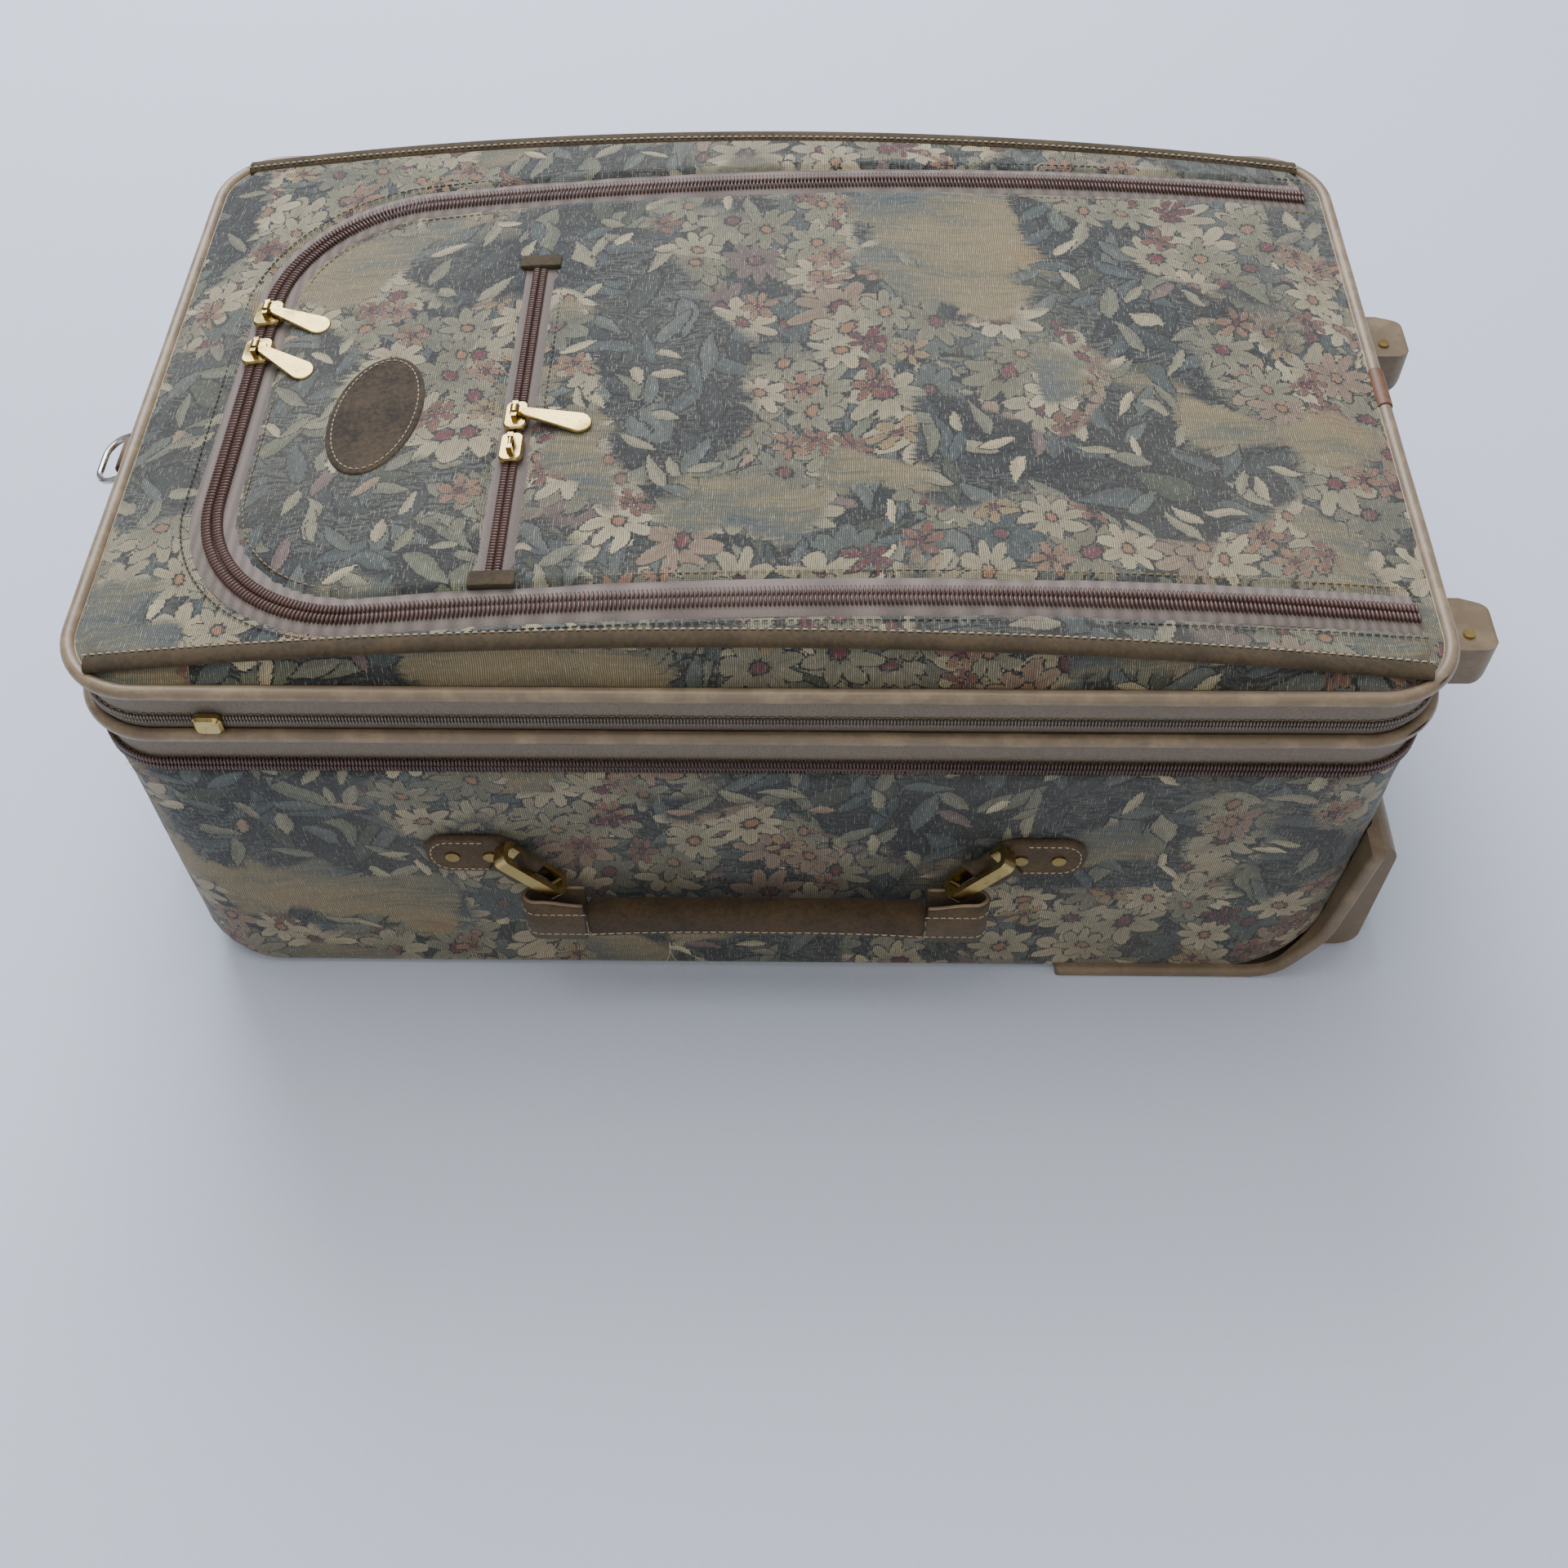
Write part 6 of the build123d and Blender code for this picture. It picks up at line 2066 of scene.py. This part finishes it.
@dataclass
class Studio:
    """Floor, light and the camera at the photograph's angle. Angles are in radians."""

    place: tuple[float, float, float] = (0.0236, -0.6041, 0.7351)
    yaw: float = -0.0284
    pitch: float = 0.9383
    roll: float = 0.0163
    lens: float = 39.0
    sensor: float = 36.0
    floor_half: float = 4.0
    sky_strength: float = 0.58

    def camera(self) -> None:
        """The camera."""
        cos_p, sin_p = math.cos(self.pitch), math.sin(self.pitch)
        ahead = Vector((math.sin(self.yaw) * cos_p, math.cos(self.yaw) * cos_p, -sin_p))
        level = Vector((math.cos(self.yaw), -math.sin(self.yaw), 0))
        down = ahead.cross(level)
        right = level * math.cos(self.roll) + down * math.sin(self.roll)
        up = level * math.sin(self.roll) - down * math.cos(self.roll)
        data = bpy.data.cameras.new("photo_camera")
        data.lens = self.lens
        data.sensor_width = self.sensor
        data.clip_start = 0.01
        camera = bpy.data.objects.new("photo_camera", data)
        bpy.context.scene.collection.objects.link(camera)
        turn = Matrix((right, up, -ahead)).transposed()
        camera.matrix_world = Matrix.Translation(self.place) @ turn.to_4x4()
        bpy.context.scene.camera = camera

    def floor(self) -> None:
        """A floor of matt painted board: pale, cool and even, with a faint fleck."""
        graph = Graph("pale_floor")
        add = graph.add
        fleck = add("TexNoise", graph.place, 0.5, 3.0, 0.7)
        colour = add("Mix RGBA", add("Math MULTIPLY", fleck, 0.5), linear("#dbe3f2"),
                     linear("#ccd4e3"))
        normal = add("Bump", Height=fleck, Strength=0.2, Distance=1 * MM)
        mesh = bpy.data.meshes.new("floor")
        half = self.floor_half
        mesh.from_pydata([(-half, -half, 0), (half, -half, 0), (half, half, 0), (-half, half, 0)],
                         [], [(0, 1, 2, 3)])
        floor = bpy.data.objects.new("floor", mesh)
        bpy.context.scene.collection.objects.link(floor)
        mesh.materials.append(graph.close(
            add("BsdfPrincipled", Base_Color=colour, Roughness=0.95, Normal=normal)))

    def light(self, name: str, place: tuple, aim: tuple, size: float, power: float,
              colour: str) -> None:
        """One soft square light.

        Args:
            name: Its name.
            place: Where it stands.
            aim: The point that it shines at.
            size: Its side in metres.
            power: Its power in watts.
            colour: Its colour as sRGB hex.
        """
        data = bpy.data.lights.new(name, "AREA")
        data.shape = "SQUARE"
        data.size = size
        data.energy = power
        data.color = linear(colour)[:3]
        lamp = bpy.data.objects.new(name, data)
        bpy.context.scene.collection.objects.link(lamp)
        lamp.location = place
        lamp.rotation_euler = (Vector(aim) - Vector(place)).to_track_quat("-Z", "Y").to_euler()

    def sky(self) -> None:
        """A soft room for reflections: grey below and near white above."""
        world = bpy.data.worlds.new("soft_room")
        world.use_nodes = True
        tree = world.node_tree
        place, split, ramp = (tree.nodes.new("ShaderNode" + kind)
                              for kind in ("TexCoord", "SeparateXYZ", "ValToRGB"))
        for element, (height, colour) in zip(ramp.color_ramp.elements,
                                             ((0.1, "#8b8d92"), (0.75, "#f2f5fb"))):
            element.position, element.color = height, linear(colour)
        background = tree.nodes["Background"].inputs
        tree.links.new(place.outputs["Generated"], split.inputs[0])
        tree.links.new(split.outputs[2], ramp.inputs[0])
        tree.links.new(ramp.outputs[0], background[0])
        background[1].default_value = self.sky_strength
        bpy.context.scene.world = world

    def build(self) -> None:
        """The whole studio."""
        self.camera()
        self.floor()
        self.light("window", (-0.5, 1.7, 1.7), (0, 0.35, 0.1), 1.6, 72, "#f0f4ff")
        self.light("ceiling", (-0.2, 0.3, 2.5), (0, 0, 0.1), 1.8, 30, "#ffffff")
        self.light("room", (0.1, -1.9, 1.2), (0, 0, 0.12), 1.8, 8.5, "#fff5e6")
        self.sky()


def main() -> None:
    """Builds the scene in order."""
    paint_frame()
    CaseCover().build()
    Bands().build()
    FrontPanel().build()
    LidEdge().build()
    CarryHandle("side_", "side_handle").build()
    CarryHandle("top_", "top_handle", 0.0, 28 * MM, -math.pi / 2).build()
    Trim().build()
    Studio().build()
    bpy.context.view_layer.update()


if __name__ == "__main__":
    main()
